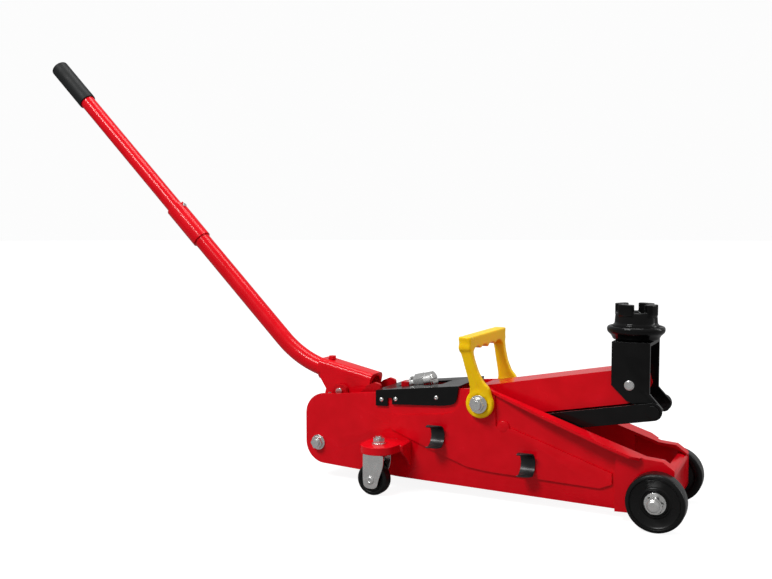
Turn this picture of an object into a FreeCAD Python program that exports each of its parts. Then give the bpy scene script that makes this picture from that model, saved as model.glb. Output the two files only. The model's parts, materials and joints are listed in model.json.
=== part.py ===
import FreeCAD, Part
import math
import os
import re

import Sketcher

# Low-profile hydraulic trolley jack, standing on its wheels with the arm a little raised.
# Local frame of every sketch and primitive: X forward, Y to the left, Z up, ground at Z = 0,
# X = 0 at the front axle, Y = 0 on the centre plane.
# Each sub-part is then shifted by axleForward, so the whole jack is centred on the origin.

vector = FreeCAD.Vector
rotation = FreeCAD.Rotation
placement = FreeCAD.Placement

dimensions = {
    # whole jack
    "axleForward": 435.82,
    "runningGap": 0.05,
    "looseGap": 0.4,
    # side plates
    "plateInner": 37.0,
    "plateThick": 3.0,
    "plateRear": -440.0,
    "plateNose": 16.0,
    "plateCorner": 27.0,
    "panelRise": 2.5,
    "panelTop": 125.0,
    "peakX": -195.0,
    "peakZ": 132.0,
    "slopeAngle": 18.4,
    "slopeLength": 190.0,
    "lipWidth": 26.0,
    "flareInner": 47.0,
    "flareStart": -46.0,
    # front wheels and axle
    "axleHeight": 31.0,
    "axleRadius": 6.5,
    "wheelRadius": 31.0,
    "wheelInner": 52.4,
    "wheelWidth": 21.0,
    # handle clips
    "clipRadius": 13.5,
    "clipWall": 1.9,
    "clipLength": 17.0,
    # top cover
    "coverHalf": 42.8,
    # lift arm and its parallel links
    "pivotX": -202.0,
    "pivotZ": 115.0,
    "pivotRadius": 10.0,
    "boltRadius": 6.0,
    "armLength": 168.2,
    "armAngle": 10.55,
    "armHalfWidth": 24.5,
    "armWall": 4.0,
    "armTop": 18.0,
    "armBottom": 20.0,
    "linkDropX": 26.1,
    "linkDropZ": 26.3,
    "linkInner": 30.0,
    "linkThick": 3.0,
    "linkDepth": 19.4,
    "studRadius": 5.0,
    "crankRadius": 58.0,
    "crankLean": 6.1,
    "rollerRadius": 9.0,
    # saddle bracket and saddle
    "bracketOuter": 29.3,
    "bracketWall": 3.8,
    "bracketTop": 193.0,
    "bracketRear": -56.3,
    "bracketFront": -15.0,
    "bracketPinRadius": 5.5,
    "saddleX": -36.0,
    "saddleStem": 12.0,
    "saddleRim": 31.5,
    "saddleCrown": 23.5,
    "saddleTop": 233.0,
    # hydraulic unit
    "ramHeight": 62.0,
    "tankRear": -360.0,
    "tankFront": -266.0,
    "tankRadius": 30.0,
    "tankWall": 3.0,
    "cylinderRadius": 18.0,
    "cylinderBore": 14.05,
    "rodRadius": 9.0,
    "headFace": -218.2,
    "headThick": 8.0,
    "headRadius": 11.4,
    "pistonFront": -313.2,
    "baseRear": -430.0,
    "baseBottom": 24.0,
    "baseTop": 82.0,
    # pump and handle socket
    "socketPinX": -400.0,
    "socketPinZ": 110.0,
    "socketPinRadius": 4.5,
    "pumpX": -418.0,
    "rollerPinZ": 104.0,
    "pumpRollerRadius": 6.0,
    "plungerRadius": 5.0,
    "socketAngle": 12.0,
    "socketAxisX": -437.0,
    "socketAxisZ": 134.7,
    "socketLength": 77.0,
    "socketRadius": 14.6,
    "socketBore": 11.6,
    "socketHalf": 17.2,
    "clampX": -424.0,
    "clampSeat": 146.9,
    # handle
    "tubeRadius": 11.25,
    "tubeWall": 1.5,
    "upperRadius": 10.5,
    "handleAngle": 44.4,
    "bendCornerX": -469.5,
    "bendCornerZ": 141.6,
    "bendRadius": 140.0,
    "couplingStart": 229.0,
    "couplingLength": 63.0,
    "couplingRadius": 13.2,
    "gripStart": 518.0,
    "gripLength": 76.0,
    "gripRadius": 12.5,
    "buttonAt": 284.0,
    # casters
    "casterX": -319.0,
    "casterY": 74.0,
    "casterTrail": 6.0,
    "casterRadius": 19.5,
    "casterWidth": 16.0,
    "casterShelf": 57.5,
    "shelfThick": 4.0,
    "shelfRadius": 22.0,
    # carry handle
    "eyeRadius": 17.0,
    "eyeInner": 43.2,
    "eyeThick": 8.0,
    "barHalf": 62.9,
    "barTop": 193.0,
    "barDepth": 16.0,
    "barWidth": 15.0,
    "barX": -216.0,
}

doc = FreeCAD.newDocument("TrolleyJack")
sizes = doc.addObject("Spreadsheet::Sheet", "Sizes")
for row, (alias, size) in enumerate(dimensions.items(), start=1):
    sizes.set(f"A{row}", alias)
    sizes.set(f"B{row}", str(size))
    sizes.setAlias(f"B{row}", alias)
doc.recompute()

subParts = []


# ---------------------------------------------------------------- helpers

def bound(text):
    """Expression text with each sheet alias given its sheet name."""
    return re.sub(r"[A-Za-z]\w+",
                  lambda word: f"Sizes.{word.group()}" if word.group() in dimensions else word.group(),
                  text)


def number(value):
    """Value in millimetres of a number or of an expression over the sheet."""
    if isinstance(value, str):
        return float(sizes.evalExpression(bound(value)))
    return float(value)


def bind(item, path, value):
    """Tie a property to the sheet, or set it when the value is a plain number."""
    if isinstance(value, str):
        item.setExpression(path, bound(value))
    elif path.startswith("Placement.Base."):
        item.setExpression(path, str(value))
    else:
        setattr(item, path, value)


def locate(item, x, y, z, turn=None):
    """Put an object at x, y, z, each a number or an expression."""
    item.Placement = placement(vector(number(x), number(y), number(z)), turn or rotation())
    bind(item, "Placement.Base.x", x)
    bind(item, "Placement.Base.y", y)
    bind(item, "Placement.Base.z", z)
    return item


along = {
    "x": rotation(vector(0, 1, 0), 90),
    "y": rotation(vector(1, 0, 0), -90),
    "z": rotation(),
}


def leaning(angle):
    """Turn that takes +Z to the direction at this angle above +X, in the XZ plane."""
    return rotation(vector(0, 1, 0), 90 - angle)


def rod(axis, radius, length, x, y, z):
    """Cylinder from x, y, z along +axis; axis is a letter or a rotation of +Z."""
    item = doc.addObject("Part::Cylinder", "rod")
    bind(item, "Radius", radius)
    bind(item, "Height", length)
    return locate(item, x, y, z, along.get(axis) if isinstance(axis, str) else axis)


def block(x0, x1, y0, y1, z0, z1):
    """Box between two corners."""
    item = doc.addObject("Part::Box", "block")
    bind(item, "Length", f"({x1}) - ({x0})")
    bind(item, "Width", f"({y1}) - ({y0})")
    bind(item, "Height", f"({z1}) - ({z0})")
    return locate(item, x0, y0, z0)


def hexagon(axis, acrossFlats, height, x, y, z):
    """Hexagonal prism from x, y, z along +axis."""
    item = doc.addObject("Part::Prism", "hexagon")
    item.Polygon = 6
    bind(item, "Circumradius", f"({acrossFlats}) / 1.7320508")
    bind(item, "Height", height)
    return locate(item, x, y, z, along.get(axis) if isinstance(axis, str) else axis)


def fuse(items):
    """Union of several objects."""
    item = doc.addObject("Part::MultiFuse", "union")
    item.Shapes = items
    item.Refine = False
    return item


def cut(base, tools):
    """First object without the others."""
    item = doc.addObject("Part::Cut", "remainder")
    item.Base = base
    item.Tool = tools[0] if len(tools) == 1 else fuse(tools)
    item.Refine = False
    return item


def common(first, second):
    """What two objects share."""
    item = doc.addObject("Part::MultiCommon", "shared")
    item.Shapes = [first, second]
    return item


def group(items):
    """Several separate solids kept as one sub-part."""
    item = doc.addObject("Part::Compound", "set")
    item.Links = items
    return item


def subPart(label, item):
    """Name a finished piece and shift it into the jack's own frame."""
    item.Label = label
    base = item.Placement.Base
    if item.TypeId in ("Part::Cylinder", "Part::Box", "Part::Prism"):
        old = [text for path, text in item.ExpressionEngine if path.endswith("Base.x")]
        item.setExpression("Placement.Base.x", f"Sizes.axleForward + ({old[0] if old else base.x})")
    else:
        item.setExpression("Placement.Base.x", "Sizes.axleForward")
    subParts.append(item)
    return item


def newBody(name):
    """Empty PartDesign body."""
    return doc.addObject("PartDesign::Body", name)


def originPlane(body, role):
    """One of the body's own origin planes."""
    return next(item for item in body.Origin.OriginFeatures if item.Role == role)


def outline(body, role, offset, points, turn=None):
    """Sketch of a closed outline, every corner held by expressions over the sheet."""
    sketch = body.newObject("Sketcher::SketchObject", "outline")
    sketch.AttachmentSupport = [(originPlane(body, role), "")]
    sketch.MapMode = "FlatFace"
    shift = offset if isinstance(offset, FreeCAD.Vector) else vector(0, 0, number(offset))
    sketch.AttachmentOffset = placement(shift, turn or rotation())
    corners = [vector(number(u), number(v), 0) for u, v in points]
    for first, second in zip(corners, corners[1:] + corners[:1]):
        sketch.addGeometry(Part.LineSegment(first, second))
    for index, (u, v) in enumerate(points):
        sketch.addConstraint(Sketcher.Constraint("Coincident", index, 2, (index + 1) % len(points), 1))
        for kind, value in (("DistanceX", u), ("DistanceY", v)):
            place = sketch.addConstraint(Sketcher.Constraint(kind, -1, 1, index, 1, number(value)))
            if isinstance(value, str):
                sketch.setExpression(f"Constraints[{place}]", bound(value))
    return sketch


def slab(body, points, inner, outer, side):
    """Pad of an XZ outline between two distances from the centre plane, on one side of it."""
    start = inner if side < 0 else f"-({outer})"
    sketch = outline(body, "XZ_Plane", start, points)
    pad = body.newObject("PartDesign::Pad", "slab")
    pad.Profile = sketch
    bind(pad, "Length", f"({outer}) - ({inner})")
    doc.recompute()
    return pad


def slabCut(body, points, inner, outer, side):
    """Pocket of an XZ outline between two distances from the centre plane."""
    before = body.Shape.Volume
    start = inner if side < 0 else f"-({outer})"
    sketch = outline(body, "XZ_Plane", start, points)
    pocket = body.newObject("PartDesign::Pocket", "recess")
    pocket.Profile = sketch
    bind(pocket, "Length", f"({outer}) - ({inner})")
    pocket.Reversed = True
    doc.recompute()
    if body.Shape.Volume >= before:
        raise RuntimeError(f"pocket in {body.Name} removes nothing")
    return pocket


def roundCorners(body, corners, radius):
    """Fillet the edges along Y that pass through the given XZ corners of the body's last feature."""
    spots = [(number(x), number(z)) for x, z in corners]
    names = []
    previous = body.Tip
    for index, edge in enumerate(previous.Shape.Edges, start=1):
        ends = [vertex.Point for vertex in edge.Vertexes]
        if len(ends) != 2 or abs(ends[0].y - ends[1].y) < 1.0:
            continue
        if abs(ends[0].x - ends[1].x) > 0.01 or abs(ends[0].z - ends[1].z) > 0.01:
            continue
        if any(math.hypot(ends[0].x - x, ends[0].z - z) < 0.1 for x, z in spots):
            names.append(f"Edge{index}")
    fillet = body.newObject("PartDesign::Fillet", "round")
    fillet.Base = (previous, names)
    bind(fillet, "Radius", radius)
    doc.recompute()
    return fillet


def turned(points, x, y, z, turn=None):
    """Solid of revolution of an (r, height) outline about +Z, then turned and placed."""
    body = newBody("turned")
    sketch = outline(body, "XZ_Plane", 0, points)
    revolution = body.newObject("PartDesign::Revolution", "revolution")
    revolution.Profile = sketch
    revolution.ReferenceAxis = (sketch, ["V_Axis"])
    revolution.Angle = 360
    doc.recompute()
    holder = doc.addObject("Part::Compound", "placed")
    holder.Links = [body]
    return locate(holder, x, y, z, turn)


def onBothSides(make):
    """Pieces made by make(side) for the right side, then the left."""
    return [make(side) for side in (-1, 1)]


def across(side, inner, outer):
    """Lower Y bound and length of a span between two distances from the centre plane."""
    start = f"-({outer})" if side < 0 else f"({inner})"
    return start, f"({outer}) - ({inner})"


def sideRod(side, radius, inner, outer, x, z):
    """Cylinder along Y between two distances from the centre plane."""
    start, length = across(side, inner, outer)
    return rod("y", radius, length, x, start, z)


def sideHexagon(side, acrossFlats, inner, outer, x, z):
    """Hexagonal prism along Y between two distances from the centre plane."""
    start, length = across(side, inner, outer)
    return hexagon("y", acrossFlats, length, x, start, z)


def crossRod(radius, half, x, z):
    """Cylinder along Y across the centre plane."""
    return rod("y", radius, f"2 * ({half})", x, f"-({half})", z)


sideName = {-1: "right", 1: "left"}
plateOuter = "plateInner + plateThick"
panelOuter = "plateInner + plateThick + panelRise"
flareOuter = "flareInner + plateThick"
linkPivot = ("pivotX + linkDropX", "pivotZ - linkDropZ")
bracketPin = ("pivotX + armLength * cos(armAngle * 1 deg)", "pivotZ + armLength * sin(armAngle * 1 deg)")
linkEnd = (f"{bracketPin[0]} + linkDropX", f"{bracketPin[1]} - linkDropZ")


# ---------------------------------------------------------------- frame

def sidePlate(side):
    """Pressed steel side plate with a raised panel, a flared nose and an outward lip."""
    body = newBody(f"sidePlate{sideName[side]}")
    rim = [
        ("plateRear", 21), (-307, 15), (-34, 11), (8, 13),
        ("plateNose", 24), ("plateNose", 62), (4, 70.5), ("peakX + 180", "peakZ - 60"),
        ("peakX", "peakZ"), (-226, 129.5), (-335, 116.6), ("plateRear + 38", 109.3), ("plateRear", 108.5),
    ]
    slab(body, rim, "plateInner", plateOuter, side)
    roundCorners(body, [rim[0], rim[-1]], "plateCorner")
    panel = [
        (-320, 74), (-267, 54), (-219.5, 38), (-192, 35.4), (-64, 32), (-51, 38), (-51, 50),
        (-165, 88.2), (-184, 86), (-186, "panelTop"), (-221, "panelTop"), (-226, 112),
        (-236, 101), (-250, 97), (-320, 90),
    ]
    slab(body, panel, plateOuter, panelOuter, side)
    roundCorners(body, [panel[0], panel[1], panel[7], panel[8]], 5)
    inset = [
        (-314, 77), (-266, 59), (-219, 42.5), (-192, 40), (-64, 36.6), (-57, 41), (-57, 48),
        (-165, 83), (-189, 82), (-191, "panelTop - 5"), (-217, "panelTop - 5"), (-221, 110),
        (-233, 97), (-250, 92), (-314, 85),
    ]
    slabCut(body, inset, "plateInner", "plateInner + panelRise", side)
    flare = [
        ("flareStart", 11.2), (8, 13), ("plateNose", 24), ("plateNose", 62), (4, 70.5),
        ("peakX + 180", "peakZ - 60"), ("flareStart", "peakZ - 49.6"),
    ]
    slab(body, flare, plateOuter, flareOuter, side)
    hollow = [
        ("flareStart + 3", 14.5), (7, 16.3), ("plateNose + 1", 26), ("plateNose + 1", 60), (2, 67),
        ("peakX + 179", "peakZ - 63.5"), ("flareStart + 3", "peakZ - 54"),
    ]
    slabCut(body, hollow, "plateInner", "flareInner", side)
    roundCorners(body, [flare[2], flare[3]], 2.5)
    addLip(body, side)
    holes = [
        rodThrough(side, "axleRadius", 0, "axleHeight"),
        rodThrough(side, "boltRadius", "pivotX", "pivotZ"),
        rodThrough(side, "studRadius", *linkPivot),
        rodThrough(side, 5, "plateRear + 18", 46),
    ] + [rodThrough(side, 1.8, x, z) for x, z in coverScrewSpots]
    subPart(f"side_plate_{sideName[side]}", cut(body, holes))


coverScrewSpots = ((-331, 108.5), (-312, 110.5), (-258.6, 116.5))


def rodThrough(side, radius, x, z):
    """Drill across one side plate."""
    return sideRod(side, radius, "plateInner - 5", "flareInner + 8", x, z)


def addLip(body, side):
    """Outward lip along the sloping front edge, wider toward the nose."""
    drop = number("slopeAngle")
    widths = [
        (4, "plateInner + 0.2"), ("slopeLength - 4", "plateInner + 0.2"),
        ("slopeLength - 4", "plateInner + lipWidth - 8"),
        ("slopeLength - 14", "plateInner + lipWidth"), ("slopeLength - 42", "plateInner + lipWidth"),
        (75, "plateInner + lipWidth * 0.7"), (4, "plateInner + 5"),
    ]
    points = [(s, y if side > 0 else f"-({y})") for s, y in widths]
    sketch = outline(body, "XY_Plane", vector(number("peakX"), 0, number("peakZ")), points,
                     rotation(vector(0, 1, 0), drop))
    pad = body.newObject("PartDesign::Pad", "lip")
    pad.Profile = sketch
    bind(pad, "Length", "plateThick")
    pad.Reversed = True
    doc.recompute()
    return pad


onBothSides(sidePlate)


def frontCrossPlate():
    """Folded plate that closes the nose between the side plates."""
    face = block("plateNose - plateThick", "plateNose", "-flareInner", "flareInner", 27, 54)
    top = block(5, "plateNose - 7", "-flareInner", "flareInner", 58, 61)
    corner = rod("y", 7, "2 * flareInner", "plateNose - 7", "-flareInner", 54)
    bore = rod("y", 4, "2 * flareInner + 2", "plateNose - 7", "-flareInner - 1", 54)
    quarter = block("plateNose - 7", "plateNose", "-flareInner - 1", "flareInner + 1", 54, 64)
    bend = common(cut(corner, [bore]), quarter)
    subPart("front_cross_plate", fuse([face, bend, top]))


def casterBracket(side):
    """Half-round shelf welded to the side plate, with a triangular gusset at its front."""
    start, length = across(side, plateOuter, "casterY")
    shelf = fuse([
        block("casterX - shelfRadius", "casterX + shelfRadius + 5", start, f"{start} + {length}",
              "casterShelf", "casterShelf + shelfThick"),
        rod("z", "shelfRadius", "shelfThick", "casterX", f"{side} * casterY", "casterShelf"),
    ])
    hole = rod("z", 4, 20, "casterX", f"{side} * casterY", "casterShelf - 5")
    gusset = newBody(f"gusset{sideName[side]}")
    inner = f"{side} * (plateInner + plateThick)"
    points = [(inner, "casterShelf"), (f"{side} * 66", "casterShelf"), (f"{side} * 60", 48), (inner, 30)]
    sketch = outline(gusset, "YZ_Plane", "casterX + shelfRadius + 2", points)
    pad = gusset.newObject("PartDesign::Pad", "web")
    pad.Profile = sketch
    bind(pad, "Length", 3.0)
    doc.recompute()
    subPart(f"caster_bracket_{sideName[side]}", cut(fuse([shelf, gusset]), [hole]))


def topCover():
    """Pressed cover over the hydraulic unit, its sides folded down outside the side plates."""
    cover = newBody("topCover")
    side = [
        (-339, 119.4), (-339, 100.4), (-323, 100.8), (-323, 111), (-317, 111.4), (-317, 103.6),
        (-250, 107.5), (-234, 110.5), (-230, 132.4),
    ]
    slab(cover, side, "-coverHalf", "coverHalf", -1)
    roundCorners(cover, [side[7]], 9)
    inside = [(-345, 116.3), (-345, 90), (-200, 90), (-200, 133.3), (-226, 130.3), (-335, 117.4)]
    slabCut(cover, inside, "-(coverHalf - 2.5)", "coverHalf - 2.5", -1)
    opening = block(-322, -262, -17, 17, 100, 150)
    drills = [crossRod(1.8, 60, x, z) for x, z in coverScrewSpots]
    subPart("top_cover", cut(cover, [opening] + drills))


def coverScrews():
    """Pan-head screws on each side of the cover."""
    screws = []
    for side in (-1, 1):
        for x, z in coverScrewSpots:
            screws.append(fuse([
                sideRod(side, 2.8, "coverHalf", "coverHalf + 1.6", x, z),
                sideRod(side, 1.8, "plateInner - 3", "coverHalf", x, z),
            ]))
    return screws


clipSpots = ((-256, 72.5), (-145, 51.5))


def handleClips():
    """Two sprung C clips on the right plate that hold the pulled-out handle half."""
    clips = []
    middle = f"-({panelOuter} + clipRadius)"
    for x, z in clipSpots:
        ring = rod("x", "clipRadius", "clipLength", f"{x} - clipLength / 2", middle, z)
        bore = rod("x", "clipRadius - clipWall", "clipLength + 4", f"{x} - clipLength / 2 - 2", middle, z)
        gap = block(f"{x} - clipLength", f"{x} + clipLength", f"-({panelOuter} + 2 * clipRadius + 3)",
                    f"-({panelOuter} + clipRadius + 5)", f"{z} - 2 * clipRadius", f"{z} + 2 * clipRadius")
        clips.append(cut(ring, [bore, gap]))
    return clips


def frameFasteners():
    """Nuts, washers, spacers and bolts that hold the frame together."""
    nuts = [crossRod(5, 49, "plateRear + 18", 46)]
    for side in (-1, 1):
        ring = fuse([
            sideHexagon(side, 14, "plateInner + plateThick + 1.5", "plateInner + plateThick + 6.5",
                        "plateRear + 18", 46),
            sideRod(side, 9.5, plateOuter, "plateInner + plateThick + 1.5", "plateRear + 18", 46),
        ])
        nuts.append(cut(ring, [sideRod(side, 5, "plateInner", 60, "plateRear + 18", 46)]))
    subPart("rear_tie_bolt", group(nuts))

    subPart("front_axle", crossRod("axleRadius", 83, 0, "axleHeight"))
    washers = []
    axleNuts = []
    for side in (-1, 1):
        bore = sideRod(side, "axleRadius", 30, 95, 0, "axleHeight")
        washers.append(cut(sideRod(side, 11, flareOuter, "wheelInner - looseGap", 0, "axleHeight"), [bore]))
        outerFace = "wheelInner + wheelWidth - 5"
        washers.append(cut(sideRod(side, 11.5, f"{outerFace} + looseGap", f"{outerFace} + looseGap + 1.6",
                                   0, "axleHeight"), [bore]))
        axleNuts.append(cut(sideHexagon(side, 17, f"{outerFace} + looseGap + 1.6",
                                        f"{outerFace} + looseGap + 10", 0, "axleHeight"), [bore]))
    subPart("axle_washers", group(washers))
    subPart("axle_nuts", group(axleNuts))


def pivotHardware():
    """Shaft on which the arm and the carry handle turn, its nuts, and the link studs."""
    shaft = fuse([
        crossRod("pivotRadius", "plateInner", "pivotX", "pivotZ"),
        crossRod("boltRadius", "eyeInner + eyeThick + 11", "pivotX", "pivotZ"),
    ])
    subPart("arm_pivot_shaft", shaft)
    nuts = []
    studs = []
    for side in (-1, 1):
        seat = "eyeInner + eyeThick + looseGap"
        nut = fuse([
            sideHexagon(side, 15, f"{seat} + 1.6", f"{seat} + 8", "pivotX", "pivotZ"),
            sideRod(side, 10.5, seat, f"{seat} + 1.6", "pivotX", "pivotZ"),
        ])
        nuts.append(cut(nut, [sideRod(side, "boltRadius", 40, 70, "pivotX", "pivotZ")]))
        studs.append(fuse([
            sideRod(side, "studRadius", "linkInner - 2", plateOuter, *linkPivot),
            sideRod(side, 8, "linkInner - 3.8", "linkInner - 1.2", *linkPivot),
            sideRod(side, 8, "linkInner + linkThick + 1", "plateInner", *linkPivot),
        ]))
    subPart("arm_pivot_nuts", group(nuts))
    subPart("link_pivot_studs", group(studs))


frontCrossPlate()
onBothSides(casterBracket)
topCover()
subPart("cover_screws", group(coverScrews()))
subPart("handle_clips", group(handleClips()))
frameFasteners()
pivotHardware()


# ---------------------------------------------------------------- hydraulic unit

def hydraulicUnit():
    """Cast base, oil reservoir, ram cylinder, nuts, seals and plugs."""
    casting = fuse([
        block("baseRear", "tankRear", -36.5, 36.5, "baseBottom", "baseTop"),
        rod("x", "tankRadius - tankWall", 8, "tankRear", 0, "ramHeight"),
    ])
    ears = newBody("baseEars")
    ear = [
        ("socketPinX - 10", "baseTop - 4"), ("socketPinX + 30", "baseTop - 4"), (-354, 98), (-342, 112),
        (-343, 123), (-351, 125), (-360, 121), ("socketPinX + 22", 104), ("socketPinX + 10", 104),
        ("socketPinX + 9", 115), ("socketPinX + 4", 118.6), ("socketPinX - 4", 118.6),
        ("socketPinX - 9", 115), ("socketPinX - 10", 108),
    ]
    slab(ears, ear, 18.6, 23.6, -1)
    slab(ears, ear, 18.6, 23.6, 1)
    roundCorners(ears, [ear[3], ear[4], ear[5], ear[10], ear[11]], 3)
    drills = [
        crossRod("socketPinRadius", 30, "socketPinX", "socketPinZ"),
        crossRod(5, 40, "plateRear + 18", 46),
        rod("z", "plungerRadius + runningGap", 60, "pumpX", 0, 53),
        rod("z", 9, 30, "pumpX", 0, "baseTop - 20"),
        rod("x", 3, 60, "pumpX", 0, 56),
        rod("x", "cylinderRadius", 10, "tankRear + 2", 0, "ramHeight"),
        rod("z", 3, 6, -380, 30, "baseTop - 6"),
    ]
    relief = block("baseRear - 1", "baseRear + 10", -20, 20, 74, 90)
    subPart("pump_base", cut(fuse([casting, ears]), drills + [relief]))

    tank = rod("x", "tankRadius", "tankFront - tankRear", "tankRear", 0, "ramHeight")
    tankBore = rod("x", "tankRadius - tankWall", "tankFront - tankRear", "tankRear", 0, "ramHeight")
    filler = rod("z", 5, 20, -345, 0, 80)
    subPart("oil_reservoir", fuse([cut(tank, [tankBore, filler]), releaseSeat()]))
    plug = fuse([rod("z", 5, 5, -345, 0, 87.5), rod("z", 7.5, 2.5, -345, 0, 92.5)])
    subPart("filler_plug", plug)

    cylinder = rod("x", "cylinderRadius", "tankFront - tankRear - 4", "tankRear + 2", 0, "ramHeight")
    bore = rod("x", "cylinderBore", "tankFront - tankRear", "tankRear + 6", 0, "ramHeight")
    subPart("ram_cylinder", cut(cylinder, [bore]))

    nut = fuse([
        rod("x", "tankRadius - tankWall", 6, "tankFront - 6", 0, "ramHeight"),
        rod("x", "tankRadius + 1", 5, "tankFront", 0, "ramHeight"),
        hexagon("x", 44, 3, "tankFront + 5", 0, "ramHeight"),
    ])
    inner = [
        rod("x", "cylinderRadius", 4, "tankFront - 6", 0, "ramHeight"),
        rod("x", "rodRadius + runningGap", 40, "tankFront - 20", 0, "ramHeight"),
        rod("x", "rodRadius + 2.5", 3, "tankFront + 1", 0, "ramHeight"),
    ]
    subPart("tank_nut", cut(nut, inner))
    wiper = rod("x", "rodRadius + 2.5", 3, "tankFront + 1", 0, "ramHeight")
    wiperBore = rod("x", "rodRadius + runningGap", 5, "tankFront", 0, "ramHeight")
    subPart("rod_seal", cut(wiper, [wiperBore]))

    barrel = cut(rod("z", 9, 18, "pumpX", 0, "baseTop - 20"),
                 [rod("z", "plungerRadius + runningGap", 30, "pumpX", 0, "baseTop - 25")])
    subPart("pump_gland", barrel)
    safety = fuse([hexagon("z", 8, 4, -380, 30, "baseTop"), rod("z", 3, 6, -380, 30, "baseTop - 6")])
    subPart("safety_valve", safety)
    subPart("socket_pin", crossRod("socketPinRadius", 27, "socketPinX", "socketPinZ"))


releaseTilt = 14.0
releaseAt = (-312, 0, 122.5)


def alongRelease(distance):
    """Point on the release valve's axis."""
    angle = math.radians(releaseTilt)
    x, y, z = releaseAt
    return x + distance * math.cos(angle), y, z + distance * math.sin(angle)


def releaseSeat():
    """Boss on top of the reservoir that carries the release valve."""
    boss = fuse([
        block(-321, -311, -8, 8, "ramHeight + tankRadius - 2.2", 126),
        block(-320, -270, -8, 8, "ramHeight + tankRadius - 2.2", 100),
    ])
    hole = rod(leaning(releaseTilt), 5.05, 40, *alongRelease(-20))
    inside = rod("x", "tankRadius - 1", 200, -400, 0, "ramHeight")
    return cut(boss, [hole, inside])


def releaseValve():
    """Steel release screw: shank, hexagon, collar and round head, tilted up to the front."""
    turn = leaning(releaseTilt)
    pieces = [
        rod(turn, 5, 19, *alongRelease(-9)),
        rod(turn, 9, 2, *alongRelease(3)),
        hexagon(turn, 19, 13, *alongRelease(9)),
        rod(turn, 8, 3, *alongRelease(21)),
        rod(turn, 10.5, 10, *alongRelease(23)),
        rod(turn, 8.5, 1.5, *alongRelease(33)),
    ]
    slot = rod("y", 1.6, 30, alongRelease(34.5)[0], -15, alongRelease(34.5)[2])
    subPart("release_valve", cut(fuse(pieces), [slot]))


hydraulicUnit()
releaseValve()


# ---------------------------------------------------------------- ram

def coil(name, radius, wire, turns, height):
    """Helical spring along +Z, starting at its own origin."""
    path = Part.makeHelix((height - 2 * wire) / turns, height - 2 * wire, radius)
    section = Part.Wire(Part.makeCircle(wire, vector(radius, 0, 0), vector(0, 1, 0)))
    spring = doc.addObject("Part::Feature", name)
    spring.Shape = Part.Wire(path).makePipeShell([section], True, True)
    return spring


def ram():
    """Piston rod with its piston, seal ring and push head."""
    piston = fuse([
        rod("x", "rodRadius", "headFace - headThick - pistonFront", "pistonFront", 0, "ramHeight"),
        rod("x", "cylinderBore - 0.05", 9, "pistonFront - 9", 0, "ramHeight"),
    ])
    core = rod("x", 6, "headFace - headThick - pistonFront + 4", "pistonFront - 12", 0, "ramHeight")
    groove = cut(rod("x", "cylinderBore + 1", 4, "pistonFront - 8", 0, "ramHeight"),
                 [rod("x", "cylinderBore - 3", 6, "pistonFront - 9", 0, "ramHeight")])
    subPart("ram_rod", cut(piston, [groove, core]))
    seal = cut(rod("x", "cylinderBore - 0.05", 4, "pistonFront - 8", 0, "ramHeight"),
               [rod("x", "cylinderBore - 3", 6, "pistonFront - 9", 0, "ramHeight")])
    subPart("piston_seal", seal)
    head = [(0, 0), ("headRadius", 0), ("headRadius", "headThick - 2"), ("headRadius - 2", "headThick"),
            (0, "headThick")]
    subPart("ram_head", group([turned(head, "headFace - headThick", 0, "ramHeight", along["x"])]))
    spring = coil("ramSpring", 4.2, 0.7, 20, 85)
    locate(spring, -353, 0, "ramHeight", along["x"])
    subPart("ram_return_spring", group([spring]))


ram()


# ---------------------------------------------------------------- lift arm and links

def liftArm():
    """Inverted channel with a pivot tube at its rear and a crank below it."""
    body = newBody("armChannel")
    side = [
        (-16, 14), (-6, "armTop"), ("armLength", "armTop"), ("armLength + 13", 10), ("armLength + 15", -6),
        ("armLength + 8", "-armBottom + 4"), ("armLength - 6", "-armBottom"), (20, "-armBottom"), (-16, -14),
    ]
    slab(body, side, "-armHalfWidth", "armHalfWidth", -1)
    hollow = [
        (-30, "armTop - armWall"), ("armLength + 30", "armTop - armWall"),
        ("armLength + 30", -30), (-30, -30),
    ]
    slabCut(body, hollow, "-(armHalfWidth - armWall)", "armHalfWidth - armWall", -1)
    crank = newBody("crank")
    lever = [(-12, -6), (-11, "-crankRadius"), (-6, "-crankRadius - 9"), (6, "-crankRadius - 9"),
             (11, "-crankRadius"), (16, -6), (8, 8), (-8, 8)]
    slab(crank, lever, 12, 19, -1)
    slab(crank, lever, 12, 19, 1)
    roundCorners(crank, [lever[2], lever[3]], 4)
    crank.Placement = placement(vector(0, 0, 0), rotation(vector(0, 1, 0), number("armAngle + crankLean")))
    hub = crossRod(17, "plateInner - 1", 0, 0)
    whole = fuse([body, crank, hub])
    drills = [
        crossRod("pivotRadius + runningGap", 50, 0, 0),
        crossRod("bracketPinRadius + runningGap", 50, "armLength", 0),
        crankHole(),
    ]
    arm = cut(whole, drills)
    placed = doc.addObject("Part::Compound", "arm")
    placed.Links = [arm]
    locate(placed, "pivotX", 0, "pivotZ", rotation(vector(0, 1, 0), -number("armAngle")))
    holder = group([placed])
    subPart("lift_arm", holder)


def crankPoint():
    """Crank pin centre in the jack's local frame."""
    lean = math.radians(number("crankLean"))
    return (number("pivotX") - number("crankRadius") * math.sin(lean),
            number("pivotZ") - number("crankRadius") * math.cos(lean))


def crankHole():
    """Hole for the crank pin, in the arm's own frame."""
    turn = math.radians(number("armAngle + crankLean"))
    x = -number("crankRadius") * math.sin(turn)
    z = -number("crankRadius") * math.cos(turn)
    return crossRod(4, 40, x, z)


def crankRoller():
    """Roller that the ram head pushes, on its pin."""
    x, z = crankPoint()
    subPart("crank_pin", crossRod(4, 20, x, z))
    roller = cut(crossRod("rollerRadius", 11.4, x, z), [crossRod("4 + runningGap", 15, x, z)])
    subPart("crank_roller", roller)


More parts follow.
